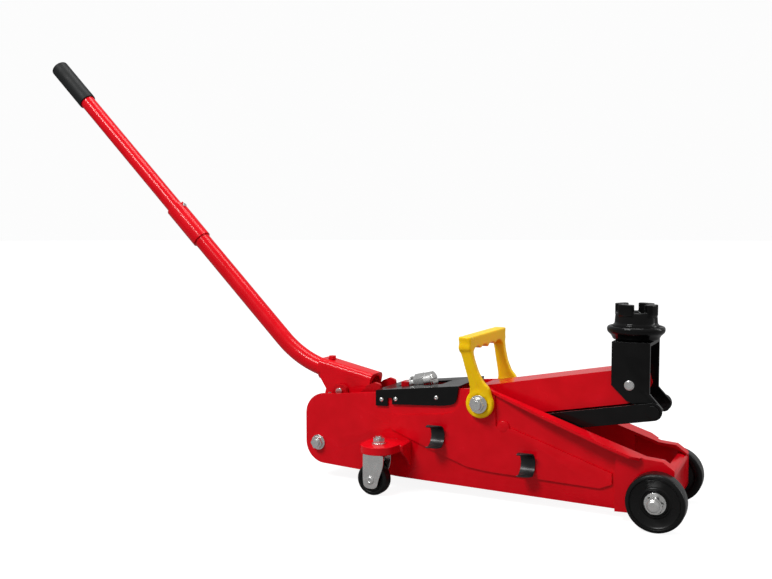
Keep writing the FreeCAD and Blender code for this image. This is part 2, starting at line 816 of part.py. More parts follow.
def saddleBracket():
    """Inverted U bracket that keeps the saddle level, with ears for the links at its foot."""
    body = newBody("saddleBracket")
    side = [
        ("bracketRear", "bracketTop"), ("bracketRear", 145), (-39.7, 129), (-22, 122),
        (f"{linkEnd[0]} - 7", f"{linkEnd[1]} - 9.5"), (f"{linkEnd[0]} + 7", f"{linkEnd[1]} - 9.5"),
        (f"{linkEnd[0]} + 9.7", f"{linkEnd[1]} + 3"), ("bracketFront", 138), ("bracketFront", "bracketTop"),
    ]
    slab(body, side, "-bracketOuter", "bracketOuter", -1)
    roundCorners(body, [side[4], side[5]], 6.5)
    inside = [("bracketRear - 5", "bracketTop - bracketWall"), ("bracketRear - 5", 100), (20, 100),
              (20, "bracketTop - bracketWall")]
    slabCut(body, inside, "-(bracketOuter - bracketWall)", "bracketOuter - bracketWall", -1)
    drills = [
        crossRod("bracketPinRadius", 40, *bracketPin),
        crossRod("studRadius", 40, *linkEnd),
        rod("z", "saddleStem + runningGap", 20, "saddleX", 0, "bracketTop - 10"),
    ]
    subPart("saddle_bracket", cut(body, drills))
    pin = fuse([
        crossRod("bracketPinRadius", "bracketOuter + 0.3", *bracketPin),
        crossRod("bracketPinRadius - 1", "bracketOuter + 1.4", *bracketPin),
    ])
    subPart("bracket_pin", pin)
    rivets = []
    for side in (-1, 1):
        rivets.append(fuse([
            sideRod(side, "studRadius", "bracketOuter - bracketWall", "linkInner + linkThick + 1", *linkEnd),
            sideRod(side, 7, "linkInner + linkThick + 0.7", "linkInner + linkThick + 2.6", *linkEnd),
        ]))
    subPart("link_rivets", group(rivets))


def link(side):
    """Flat bar parallel to the arm that keeps the bracket upright."""
    half = "linkDepth / 2"
    start, length = across(side, "linkInner", "linkInner + linkThick")
    bar = fuse([
        block(0, "armLength", start, f"{start} + {length}", f"-{half}", half),
        sideRod(side, half, "linkInner", "linkInner + linkThick", 0, 0),
        sideRod(side, half, "linkInner", "linkInner + linkThick", "armLength", 0),
    ])
    drills = [
        sideRod(side, "studRadius + runningGap", 20, 40, 0, 0),
        sideRod(side, "studRadius + looseGap", 20, 40, "armLength", 0),
    ]
    placed = doc.addObject("Part::Compound", "link")
    placed.Links = [cut(bar, drills)]
    locate(placed, linkPivot[0], 0, linkPivot[1], rotation(vector(0, 1, 0), -number("armAngle")))
    return placed


def saddle():
    """Turning saddle: stem, flared dish and a crown with four lugs."""
    profile = [
        (0, "bracketTop - bracketWall - 5"), ("saddleStem", "bracketTop - bracketWall - 5"),
        ("saddleStem", "bracketTop"), (22, "bracketTop + 0.4"), (27, "bracketTop + 3"),
        ("saddleRim", "bracketTop + 12"), ("saddleRim - 1", "bracketTop + 15"),
        ("saddleRim - 4", "bracketTop + 14"), ("saddleCrown + 1", "bracketTop + 12"),
        ("saddleCrown", "bracketTop + 18"), ("saddleCrown - 1", "saddleTop - 9"),
        ("saddleCrown - 6", "saddleTop - 9"), ("saddleCrown - 9", "saddleTop - 13"), (0, "saddleTop - 14"),
    ]
    bowl = turned(profile, "saddleX", 0, 0)
    ring = cut(rod("z", "saddleCrown", 11, "saddleX", 0, "saddleTop - 11"),
               [rod("z", "saddleCrown - 7", 13, "saddleX", 0, "saddleTop - 12")])
    gaps = []
    for angle in (22, 112):
        slot = doc.addObject("Part::Box", "slot")
        bind(slot, "Length", 80.0)
        bind(slot, "Width", 20.0)
        bind(slot, "Height", 12.0)
        turn = rotation(vector(0, 0, 1), angle)
        corner = turn.multVec(vector(-40, -10, 0))
        locate(slot, f"saddleX + {corner.x}", corner.y, "saddleTop - 9", turn)
        gaps.append(slot)
    subPart("saddle", fuse([bowl, cut(ring, gaps)]))
    ringClip = cut(rod("z", "saddleStem + 3", 1.6, "saddleX", 0, "bracketTop - bracketWall - 2.4"),
                   [rod("z", "saddleStem", 4, "saddleX", 0, "bracketTop - bracketWall - 3")])
    subPart("saddle_circlip", ringClip)


liftArm()
crankRoller()
saddleBracket()
subPart("link_bars", group(onBothSides(link)))
saddle()


# ---------------------------------------------------------------- pump and handle

def pumpPlunger():
    """Pump plunger with its domed cap, and the spring that lifts it."""
    cap = "rollerPinZ - pumpRollerRadius - 0.8"
    plunger = fuse([
        rod("z", "plungerRadius", f"{cap} - 66", "pumpX", 0, 66),
        rod("z", 8.5, 3, "pumpX", 0, f"{cap} - 3"),
    ])
    subPart("pump_plunger", plunger)
    low = number("baseTop - 2")
    spring = coil("pumpSpring", 6.8, 0.7, 4, number(cap) - 3 - low)
    spring.Placement = placement(vector(number("pumpX"), 0, low + 0.7), rotation())
    subPart("pump_spring", group([spring]))


handleTurn = number("handleAngle")


def alongHandle(distance):
    """Point of the handle's main axis, measured from its bend corner."""
    angle = math.radians(handleTurn)
    reach = number(distance)
    return (number("bendCornerX") - reach * math.cos(angle), 0,
            number("bendCornerZ") + reach * math.sin(angle))


upHandle = leaning(180 - handleTurn)


def handleRod(radius, start, length):
    """Cylinder along the handle's main axis."""
    return rod(upHandle, radius, length, *alongHandle(start))


def socketShell(turn, front):
    """Flat-sided upper half of the socket, its two long edges rounded."""
    shell = doc.addObject("Part::Box", "shell")
    bind(shell, "Length", "socketRadius + 2")
    bind(shell, "Width", "2 * socketHalf")
    bind(shell, "Height", "socketLength")
    corner = vector(*front) + turn.multVec(vector(number("-2"), -number("socketHalf"), 0))
    shell.Placement = placement(corner, turn)
    doc.recompute()
    top = number("socketRadius + 2")
    names = [index for index, edge in enumerate(shell.Shape.Edges, start=1)
             if all(abs(turn.inverted().multVec(end.Point - corner).x - top) < 0.01 for end in edge.Vertexes)
             and edge.Length > number("socketLength") - 0.01]
    rounded = doc.addObject("Part::Fillet", "roundedShell")
    rounded.Base = shell
    rounded.Edges = [(index, 8.0, 8.0) for index in names]
    return rounded


def handleSocket():
    """Tube that takes the handle, with cheeks down to its pin and its roller."""
    turn = leaning(180 - number("socketAngle"))
    angle = math.radians(number("socketAngle"))
    front = (number("socketAxisX + socketLength * cos(socketAngle * 1 deg)"), 0,
             number("socketAxisZ - socketLength * sin(socketAngle * 1 deg)"))
    outer = rod(turn, "socketRadius", "socketLength", *front)
    bore = rod(turn, "socketBore", "socketLength + 10", front[0] + 5 * math.cos(angle), 0,
               front[2] - 5 * math.sin(angle))
    cheeks = newBody("socketCheeks")
    cheek = [
        (-433, 136), (-433, 125), ("clampX", 111), ("pumpX - 8", "rollerPinZ - 1"),
        ("pumpX - 5", "rollerPinZ - 7"),
        ("pumpX + 6", "rollerPinZ - 7"), ("socketPinX - 2", "socketPinZ - 9"), ("socketPinX + 16", 102),
        (-367, 112), (-366, 122),
    ]
    slab(cheeks, cheek, 12.6, "socketHalf", -1)
    slab(cheeks, cheek, 12.6, "socketHalf", 1)
    drills = [
        bore,
        crossRod("socketPinRadius + runningGap", 30, "socketPinX", "socketPinZ"),
        crossRod(3, 30, "pumpX", "rollerPinZ"),
        rod("z", 3, 20, "clampX", 0, 140),
        rod("z", 5.8, 10, "clampX", 0, "clampSeat"),
    ]
    subPart("handle_socket", cut(fuse([outer, cheeks, socketShell(turn, front)]), drills))
    subPart("roller_pin", crossRod(3, 18.2, "pumpX", "rollerPinZ"))
    roller = cut(crossRod("pumpRollerRadius", 12, "pumpX", "rollerPinZ"),
                 [crossRod("3 + runningGap", 15, "pumpX", "rollerPinZ")])
    subPart("pump_roller", roller)
    screw = fuse([
        rod("z", 3, 5, "clampX", 0, "clampSeat - 2.5"),
        hexagon("z", 9, 4.5, "clampX", 0, "clampSeat"),
    ])
    subPart("clamp_screw", screw)


def handlePath(end):
    """Centre line of the lower tube: straight in the socket, one bend, straight to the coupling."""
    corner = vector(number("bendCornerX"), 0, number("bendCornerZ"))
    low = math.radians(number("socketAngle"))
    down = vector(math.cos(low), 0, -math.sin(low))
    up = vector(*alongHandle(1)) - corner
    reach = number("bendRadius") * math.tan(math.radians(handleTurn - number("socketAngle")) / 2)
    middle = (up + down).normalize()
    depth = number("bendRadius") / math.cos(math.radians(handleTurn - number("socketAngle")) / 2)
    apex = corner + middle * (depth - number("bendRadius"))
    start = corner + down * 72
    bend = [corner + down * reach, apex, corner + up * reach]
    return Part.Wire([
        Part.LineSegment(start, bend[0]).toShape(),
        Part.Arc(*bend).toShape(),
        Part.LineSegment(bend[2], corner + up * end).toShape(),
    ]), start, down


def sweptTube(path, start, direction, radius):
    """Round bar of the given radius along a path."""
    ring = Part.Wire(Part.makeCircle(radius, start, direction))
    return path.makePipeShell([ring], True, True)


def handle():
    """Two-part handle: bent lower tube, coupling, upper tube, grip and snap button."""
    path, start, direction = handlePath(number("couplingStart") + 20)
    tube = doc.addObject("Part::Feature", "lowerTube")
    outside = sweptTube(path, start, direction, number("tubeRadius"))
    inside = sweptTube(path, start, direction, number("tubeRadius - tubeWall"))
    tube.Shape = outside.cut(inside)
    subPart("lower_handle_tube", group([tube]))

    coupling = cut(handleRod("couplingRadius", "couplingStart", "couplingLength"), [
        handleRod("tubeRadius", number("couplingStart") - 1, 21),
        handleRod("upperRadius + 0.1", "couplingStart", "couplingLength + 5"),
        buttonRod(3.2, 20, 5),
        buttonSlot(),
    ])
    subPart("handle_coupling", coupling)

    upperEnd = number("gripStart + gripLength") - 3
    upperStart = number("couplingStart") + 21
    upper = cut(handleRod("upperRadius", upperStart, upperEnd - upperStart), [
        handleRod("upperRadius - tubeWall", upperStart - 1, upperEnd - upperStart + 2),
        buttonRod(3.05, 20, 5),
    ])
    subPart("upper_handle_tube", upper)
    grip = cut(handleRod("gripRadius", "gripStart", "gripLength"),
               [handleRod("upperRadius", number("gripStart") - 1, "gripLength - 2")])
    subPart("handle_grip", grip)
    subPart("snap_button", fuse([buttonRod(3.0, 8, 7), buttonRod(4.5, 1.4, 6)]))


def buttonSlot():
    """Open slot from the button hole to the coupling's upper end."""
    slot = doc.addObject("Part::Box", "slot")
    bind(slot, "Length", 15.0)
    bind(slot, "Width", 6.4)
    bind(slot, "Height", "couplingStart + couplingLength - buttonAt + 2")
    corner = vector(*alongHandle("buttonAt")) + upHandle.multVec(vector(5, -3.2, 0))
    slot.Placement = placement(corner, upHandle)
    return slot


def buttonRod(radius, length, start):
    """Cylinder along the snap button's axis, square to the handle."""
    x, y, z = alongHandle(number("buttonAt"))
    angle = math.radians(90 - handleTurn)
    turn = leaning(90 - handleTurn)
    return rod(turn, radius, length, x + start * math.cos(angle), 0, z + start * math.sin(angle))


pumpPlunger()
handleSocket()
handle()


# ---------------------------------------------------------------- wheels and casters

def frontWheel(side):
    """Moulded wheel with a dished face and a bored hub."""
    profile = [
        (6.55, 1.5), (12, 1.5), (13, 0), (22, 2), (23, 0), (29, 0), ("wheelRadius", 2.5),
        ("wheelRadius", "wheelWidth - 2.5"), (29, "wheelWidth"), (26.5, "wheelWidth"), (25, "wheelWidth - 3"),
        (15, "wheelWidth - 6"), (13, "wheelWidth - 5"), (6.55, "wheelWidth - 5"),
    ]
    turn = rotation(vector(1, 0, 0), 90 if side < 0 else -90)
    subPart(f"front_wheel_{sideName[side]}",
            group([turned(profile, 0, f"{side} * wheelInner", "axleHeight", turn)]))


def caster(side):
    """Swivelling caster: kingpin, bearing, fork, axle rivet and wheel."""
    y = f"{side} * casterY"
    top = "casterShelf - 0.2"
    fork = newBody(f"fork{sideName[side]}")
    leg = [("-13", 46.5), (-13.5, 40), ("-casterTrail - 10", 20), ("-casterTrail - 7", 12),
           ("-casterTrail", 9), ("-casterTrail + 7", 12), ("-casterTrail + 10", 20), (12, 40), (12, 46.5)]
    shifted = [(f"casterX + ({u})", v) for u, v in leg]
    slab(fork, shifted, "casterY - casterWidth / 2 - 3.2", "casterY - casterWidth / 2 - 1.2", side)
    slab(fork, shifted, "casterY + casterWidth / 2 + 1.2", "casterY + casterWidth / 2 + 3.2", side)
    start, length = across(side, "casterY - casterWidth / 2 - 3.2", "casterY + casterWidth / 2 + 3.2")
    plate = block("casterX - 13", "casterX + 12", start, f"{start} + {length}", 44.5, 46.5)
    cup = cut(rod("z", 13, 4, "casterX", y, 46.5), [rod("z", 9, 8, "casterX", y, 48.5)])
    shell = cut(fuse([fork, plate, cup]), [
        rod("z", "4 + runningGap", 30, "casterX", y, 40),
        sideRod(side, 3, 50, 95, "casterX - casterTrail", "casterRadius"),
    ])
    subPart(f"caster_fork_{sideName[side]}", shell)
    rivet = fuse([
        sideRod(side, 3, "casterY - casterWidth / 2 - 3.2", "casterY + casterWidth / 2 + 3.2",
                "casterX - casterTrail", "casterRadius"),
        sideRod(side, 5, "casterY + casterWidth / 2 + 3.2", "casterY + casterWidth / 2 + 5.2",
                "casterX - casterTrail", "casterRadius"),
        sideRod(side, 5, "casterY - casterWidth / 2 - 5.2", "casterY - casterWidth / 2 - 3.2",
                "casterX - casterTrail", "casterRadius"),
    ])
    subPart(f"caster_axle_{sideName[side]}", rivet)
    profile = [
        (3.05, 0), (7, 0), (8, 1.5), (14, 1.5), (15, 0), (17.5, 0), ("casterRadius", 3),
        ("casterRadius", "casterWidth - 3"), (17.5, "casterWidth"), (15, "casterWidth"),
        (14, "casterWidth - 1.5"), (8, "casterWidth - 1.5"), (7, "casterWidth"), (3.05, "casterWidth"),
    ]
    wheel = turned(profile, "casterX - casterTrail", f"{y} + casterWidth / 2", "casterRadius",
                   rotation(vector(1, 0, 0), 90))
    subPart(f"caster_wheel_{sideName[side]}", group([wheel]))


def casterHardware():
    """Kingpin bolts, their nuts and the swivel bearing races, one of each per side."""
    pins = []
    races = []
    for side in (-1, 1):
        y = f"{side} * casterY"
        pins.append(fuse([rod("z", 4, 29, "casterX", y, 42), rod("z", 7, 2.2, "casterX", y, 42)]))
        nut = fuse([hexagon("z", 13, 6, "casterX", y, "casterShelf + shelfThick + 1.5"),
                    rod("z", 8.5, 1.5, "casterX", y, "casterShelf + shelfThick")])
        pins.append(cut(nut, [rod("z", 4, 20, "casterX", y, 55)]))
        races.append(cut(fuse([rod("z", 12, 6.2, "casterX", y, 51.3), rod("z", 8, 3, "casterX", y, 49.2)]),
                         [rod("z", 4, 20, "casterX", y, 45)]))
    subPart("caster_kingpins", group(pins))
    subPart("caster_races", group(races))


onBothSides(frontWheel)
onBothSides(caster)
casterHardware()


# ---------------------------------------------------------------- carry handle

def handleLeg(side):
    """Leg that leans outward from the eye to the cross bar."""
    foot = [vector(number("pivotX") + x, 0, number("pivotZ") + 11) for x in (-12.5, 11.5)]
    head = [vector(number("barX") + x, 0, number("barTop - barDepth / 2")) for x in (-7.5, 5.5)]
    wires = []
    for ends, inner, outer in ((foot, "eyeInner", "eyeInner + eyeThick"), (head, "barHalf - 11", "barHalf")):
        corners = [vector(end.x, side * number(y), end.z)
                   for end, y in ((ends[0], inner), (ends[1], inner), (ends[1], outer), (ends[0], outer))]
        wires.append(Part.makePolygon(corners + corners[:1]))
    leg = doc.addObject("Part::Feature", "leg")
    leg.Shape = Part.makeLoft(wires, True)
    return leg


def carryHandle():
    """Moulded bail: two eyes on the pivot shaft, two legs and a grip bar with finger hollows."""
    bar = block("barX - barWidth / 2", "barX + barWidth / 2", "-barHalf", "barHalf",
                "barTop - barDepth", "barTop")
    hollows = [rod("x", 14, 40, "barX - 20", y, "barTop - barDepth - 10") for y in (-36, -12, 12, 36)]
    eyes = onBothSides(lambda side: sideRod(side, "eyeRadius", "eyeInner", "eyeInner + eyeThick",
                                            "pivotX", "pivotZ"))
    whole = fuse([cut(bar, hollows)] + eyes + onBothSides(handleLeg))
    bore = crossRod("boltRadius + runningGap", 70, "pivotX", "pivotZ")
    subPart("carry_handle", cut(whole, [bore]))


carryHandle()


# ---------------------------------------------------------------- write the sub-parts

doc.recompute()
faults = [item.Label for item in doc.Objects if "Invalid" in item.State or "Error" in item.State]
faults += [item.Label for item in subParts
           if item.Shape.isNull() or not item.Shape.isValid() or item.Shape.Volume < 1.0]
if faults:
    raise RuntimeError(f"failed objects: {faults}")
os.makedirs("parts", exist_ok=True)
whole = FreeCAD.BoundBox()
for item in subParts:
    item.Shape.exportStep(f"parts/{item.Label}.step")
    whole.add(item.Shape.BoundBox)
print(len(subParts), "sub-parts", whole)
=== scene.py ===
import json
import math

import bmesh
import bpy
from mathutils import Matrix, Vector


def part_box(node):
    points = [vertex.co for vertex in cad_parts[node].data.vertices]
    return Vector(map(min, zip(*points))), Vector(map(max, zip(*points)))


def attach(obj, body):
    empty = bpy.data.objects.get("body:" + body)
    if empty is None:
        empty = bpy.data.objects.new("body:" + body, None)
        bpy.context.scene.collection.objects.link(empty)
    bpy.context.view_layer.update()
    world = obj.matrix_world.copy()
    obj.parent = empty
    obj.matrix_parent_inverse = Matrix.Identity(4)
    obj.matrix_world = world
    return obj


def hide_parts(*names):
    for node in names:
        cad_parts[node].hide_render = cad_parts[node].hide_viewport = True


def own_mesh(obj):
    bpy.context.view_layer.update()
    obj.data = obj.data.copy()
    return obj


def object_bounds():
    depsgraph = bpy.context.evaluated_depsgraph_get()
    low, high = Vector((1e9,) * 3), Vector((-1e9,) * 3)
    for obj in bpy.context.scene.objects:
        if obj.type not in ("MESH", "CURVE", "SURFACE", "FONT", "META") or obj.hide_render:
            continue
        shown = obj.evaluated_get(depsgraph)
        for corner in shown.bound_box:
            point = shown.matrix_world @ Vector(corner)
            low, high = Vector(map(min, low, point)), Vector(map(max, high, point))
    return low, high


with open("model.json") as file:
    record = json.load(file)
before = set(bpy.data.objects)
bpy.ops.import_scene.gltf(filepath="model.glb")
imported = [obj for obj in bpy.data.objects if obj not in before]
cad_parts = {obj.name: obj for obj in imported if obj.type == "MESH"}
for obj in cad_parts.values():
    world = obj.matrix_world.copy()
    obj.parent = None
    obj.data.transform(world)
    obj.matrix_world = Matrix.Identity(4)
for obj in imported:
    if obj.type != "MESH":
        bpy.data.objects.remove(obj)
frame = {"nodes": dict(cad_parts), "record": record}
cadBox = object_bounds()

scene = bpy.context.scene
scene.view_settings.view_transform = "Standard"
print("frame loaded:", len(frame["nodes"]), "nodes")


# Helpers for node trees

def makeGroup(name, inputs, outputs):
    group = bpy.data.node_groups.new(name, "ShaderNodeTree")
    for label, value in inputs.items():
        socket = group.interface.new_socket(label, in_out="INPUT", socket_type="NodeSocketFloat")
        socket.default_value = value
    for label in outputs:
        group.interface.new_socket(label, in_out="OUTPUT", socket_type="NodeSocketFloat")
    return group, group.nodes.new("NodeGroupInput"), group.nodes.new("NodeGroupOutput")


def put(tree, kind, settings=None, **inputs):
    node = tree.nodes.new(kind)
    for name, value in (settings or {}).items():
        setattr(node, name, value)
    for name, value in inputs.items():
        plug(tree, node, name, value)
    return node


def plug(tree, node, name, value):
    socket = node.inputs[int(name[2:])] if name.startswith("in") and name[2:].isdigit() else node.inputs[name]
    if isinstance(value, bpy.types.NodeSocket):
        tree.links.new(value, socket)
    else:
        socket.default_value = value


def maths(tree, operation, first, second=0.0, clamp=False):
    node = put(tree, "ShaderNodeMath", {"operation": operation, "use_clamp": clamp}, in0=first, in1=second)
    return node.outputs[0]


def remap(tree, value, low, high, toLow=0.0, toHigh=1.0):
    node = put(tree, "ShaderNodeMapRange", {"clamp": True}, Value=value)
    for name, number in (("From Min", low), ("From Max", high), ("To Min", toLow), ("To Max", toHigh)):
        node.inputs[name].default_value = number
    return node.outputs[0]


def noise(tree, point, scale, detail=2.0, rough=0.5):
    node = put(tree, "ShaderNodeTexNoise", Vector=point, Detail=detail, Roughness=rough)
    plug(tree, node, "Scale", scale)
    return node.outputs["Fac"]


def objectPoint(tree):
    return put(tree, "ShaderNodeTexCoord").outputs["Object"]


# Shared effects

def makeEdgeWear():
    group, start, end = makeGroup("edgeWear", {"Width": 0.001, "Amount": 0.5, "Breakup": 300.0}, ["Mask"])
    rounded = put(group, "ShaderNodeBevel", {"samples": 4}, Radius=start.outputs["Width"])
    flat = put(group, "ShaderNodeNewGeometry")
    together = put(group, "ShaderNodeVectorMath", {"operation": "DOT_PRODUCT"},
                   in0=rounded.outputs[0], in1=flat.outputs["Normal"]).outputs["Value"]
    turned = remap(group, together, 0.97, 0.75)
    patches = noise(group, objectPoint(group), start.outputs["Breakup"], 3.0, 0.6)
    level = maths(group, "SUBTRACT", 1.0, start.outputs["Amount"])
    worn = remap(group, maths(group, "SUBTRACT", patches, maths(group, "MULTIPLY", level, 0.5)), 0.28, 0.36)
    group.links.new(maths(group, "MULTIPLY", turned, worn), end.inputs["Mask"])
    return group


def makeDust():
    group, start, end = makeGroup("dust", {"Amount": 0.2, "Scale": 40.0}, ["Mask"])
    normal = put(group, "ShaderNodeNewGeometry").outputs["Normal"]
    upward = put(group, "ShaderNodeSeparateXYZ", Vector=normal).outputs["Z"]
    settled = remap(group, upward, 0.2, 1.0)
    clouds = remap(group, noise(group, objectPoint(group), start.outputs["Scale"], 4.0, 0.6), 0.4, 0.75)
    both = maths(group, "MULTIPLY", settled, clouds)
    group.links.new(maths(group, "MULTIPLY", both, start.outputs["Amount"]), end.inputs["Mask"])
    return group


def makeOrangePeel():
    group, start, end = makeGroup("orangePeel", {"Ripple": 700.0, "Wave": 60.0}, ["Height", "Tone"])
    point = objectPoint(group)
    fine = noise(group, point, start.outputs["Ripple"], 1.0, 0.4)
    wide = noise(group, point, start.outputs["Wave"], 2.0, 0.5)
    height = maths(group, "ADD", maths(group, "MULTIPLY", fine, 0.08), wide)
    group.links.new(height, end.inputs["Height"])
    group.links.new(wide, end.inputs["Tone"])
    return group


def makePlating():
    group, start, end = makeGroup("plating", {"Spangle": 900.0, "Haze": 120.0}, ["Height", "Tone"])
    point = objectPoint(group)
    cells = put(group, "ShaderNodeTexVoronoi", Vector=point)
    plug(group, cells, "Scale", start.outputs["Spangle"])
    grey = put(group, "ShaderNodeSeparateColor", Color=cells.outputs["Color"]).outputs[0]
    haze = noise(group, point, start.outputs["Haze"], 4.0, 0.6)
    tone = maths(group, "ADD", maths(group, "MULTIPLY", grey, 0.06), maths(group, "MULTIPLY", haze, 0.94))
    group.links.new(maths(group, "ADD", cells.outputs["Distance"], haze), end.inputs["Height"])
    group.links.new(tone, end.inputs["Tone"])
    return group


def makeMoulding():
    group, start, end = makeGroup("moulding", {"Grain": 1500.0, "Flow": 30.0}, ["Height", "Tone"])
    point = objectPoint(group)
    pits = put(group, "ShaderNodeTexVoronoi", {"feature": "SMOOTH_F1"}, Vector=point)
    plug(group, pits, "Scale", start.outputs["Grain"])
    flow = noise(group, point, start.outputs["Flow"], 3.0, 0.55)
    group.links.new(maths(group, "ADD", pits.outputs["Distance"], maths(group, "MULTIPLY", flow, 0.4)),
                    end.inputs["Height"])
    group.links.new(flow, end.inputs["Tone"])
    return group


edgeWear = makeEdgeWear()
dust = makeDust()
orangePeel = makeOrangePeel()
plating = makePlating()
moulding = makeMoulding()


# Finishes

def startFinish(name):
    material = bpy.data.materials.new(name)
    material.use_nodes = True
    tree = material.node_tree
    return material, tree, tree.nodes["Principled BSDF"]


def placeGroup(tree, group, **values):
    node = tree.nodes.new("ShaderNodeGroup")
    node.node_tree = group
    for name, value in values.items():
        node.inputs[name].default_value = value
    return node


def blendColours(tree, mask, first, second):
    node = put(tree, "ShaderNodeMix", {"data_type": "RGBA", "clamp_factor": True}, in0=mask)
    for index, value in ((6, first), (7, second)):
        if isinstance(value, bpy.types.NodeSocket):
            tree.links.new(value, node.inputs[index])
        else:
            node.inputs[index].default_value = (*value, 1.0)
    return node.outputs[2]


def bump(tree, height, strength, distance):
    node = put(tree, "ShaderNodeBump", Height=height)
    node.inputs["Strength"].default_value = strength
    node.inputs["Distance"].default_value = distance
    return node.outputs["Normal"]


def enamel(name, look):
    material, tree, shader = startFinish(name)
    peel = placeGroup(tree, orangePeel, Ripple=look["ripple"], Wave=look["wave"])
    worn = placeGroup(tree, edgeWear, Width=look["wearWidth"], Amount=look["wear"], Breakup=look["breakup"])
    settled = placeGroup(tree, dust, Amount=look["dust"])
    tone = remap(tree, peel.outputs["Tone"], 0.3, 0.7)
    paint = blendColours(tree, tone, look["deep"], look["colour"])
    dusty = blendColours(tree, settled.outputs["Mask"], paint, look["dustColour"])
    shown = blendColours(tree, worn.outputs["Mask"], dusty, look["metal"])
    tree.links.new(shown, shader.inputs["Base Color"])
    rough = remap(tree, peel.outputs["Tone"], 0.3, 0.7, look["rough"] * 0.8, look["rough"] * 1.25)
    rough = maths(tree, "ADD", rough, maths(tree, "MULTIPLY", settled.outputs["Mask"], 0.4), clamp=True)
    tree.links.new(rough, shader.inputs["Roughness"])
    tree.links.new(maths(tree, "MULTIPLY", worn.outputs["Mask"], 0.8), shader.inputs["Metallic"])
    shader.inputs["Specular IOR Level"].default_value = look["shine"]
    shader.inputs["Coat Weight"].default_value = look["coat"]
    shader.inputs["Coat Roughness"].default_value = look["coatRough"]
    tree.links.new(bump(tree, peel.outputs["Height"], look["bump"], 0.0004), shader.inputs["Normal"])
    return material


def metal(name, look):
    material, tree, shader = startFinish(name)
    plate = placeGroup(tree, plating, Spangle=look["spangle"], Haze=look["haze"])
    worn = placeGroup(tree, edgeWear, Width=look["wearWidth"], Amount=look["wear"], Breakup=look["breakup"])
    tone = remap(tree, plate.outputs["Tone"], 0.3, 0.7)
    base = blendColours(tree, tone, look["deep"], look["colour"])
    tree.links.new(blendColours(tree, worn.outputs["Mask"], base, look["metal"]),
                   shader.inputs["Base Color"])
    shader.inputs["Metallic"].default_value = 1.0
    tree.links.new(remap(tree, plate.outputs["Tone"], 0.3, 0.7, look["rough"] * 0.85, look["rough"] * 1.15),
                   shader.inputs["Roughness"])
    tree.links.new(bump(tree, plate.outputs["Height"], look["bump"], 0.0002), shader.inputs["Normal"])
    return material


def polymer(name, look):
    material, tree, shader = startFinish(name)
    skin = placeGroup(tree, moulding, Grain=look["grain"], Flow=look["flow"])
    worn = placeGroup(tree, edgeWear, Width=look["wearWidth"], Amount=look["wear"], Breakup=look["breakup"])
    settled = placeGroup(tree, dust, Amount=look["dust"])
    tone = remap(tree, skin.outputs["Tone"], 0.3, 0.7)
    base = blendColours(tree, tone, look["deep"], look["colour"])
    dusty = blendColours(tree, settled.outputs["Mask"], base, look["dustColour"])
    tree.links.new(blendColours(tree, worn.outputs["Mask"], dusty, look["scuff"]),
                   shader.inputs["Base Color"])
    tree.links.new(remap(tree, skin.outputs["Tone"], 0.3, 0.7, look["rough"] * 0.85, look["rough"] * 1.15),
                   shader.inputs["Roughness"])
    shader.inputs["Specular IOR Level"].default_value = look.get("shine", 0.4)
    shader.inputs["Subsurface Weight"].default_value = look["glow"]
    shader.inputs["Subsurface Scale"].default_value = 0.004
    tree.links.new(bump(tree, skin.outputs["Height"], look["bump"], 0.0002), shader.inputs["Normal"])
    return material


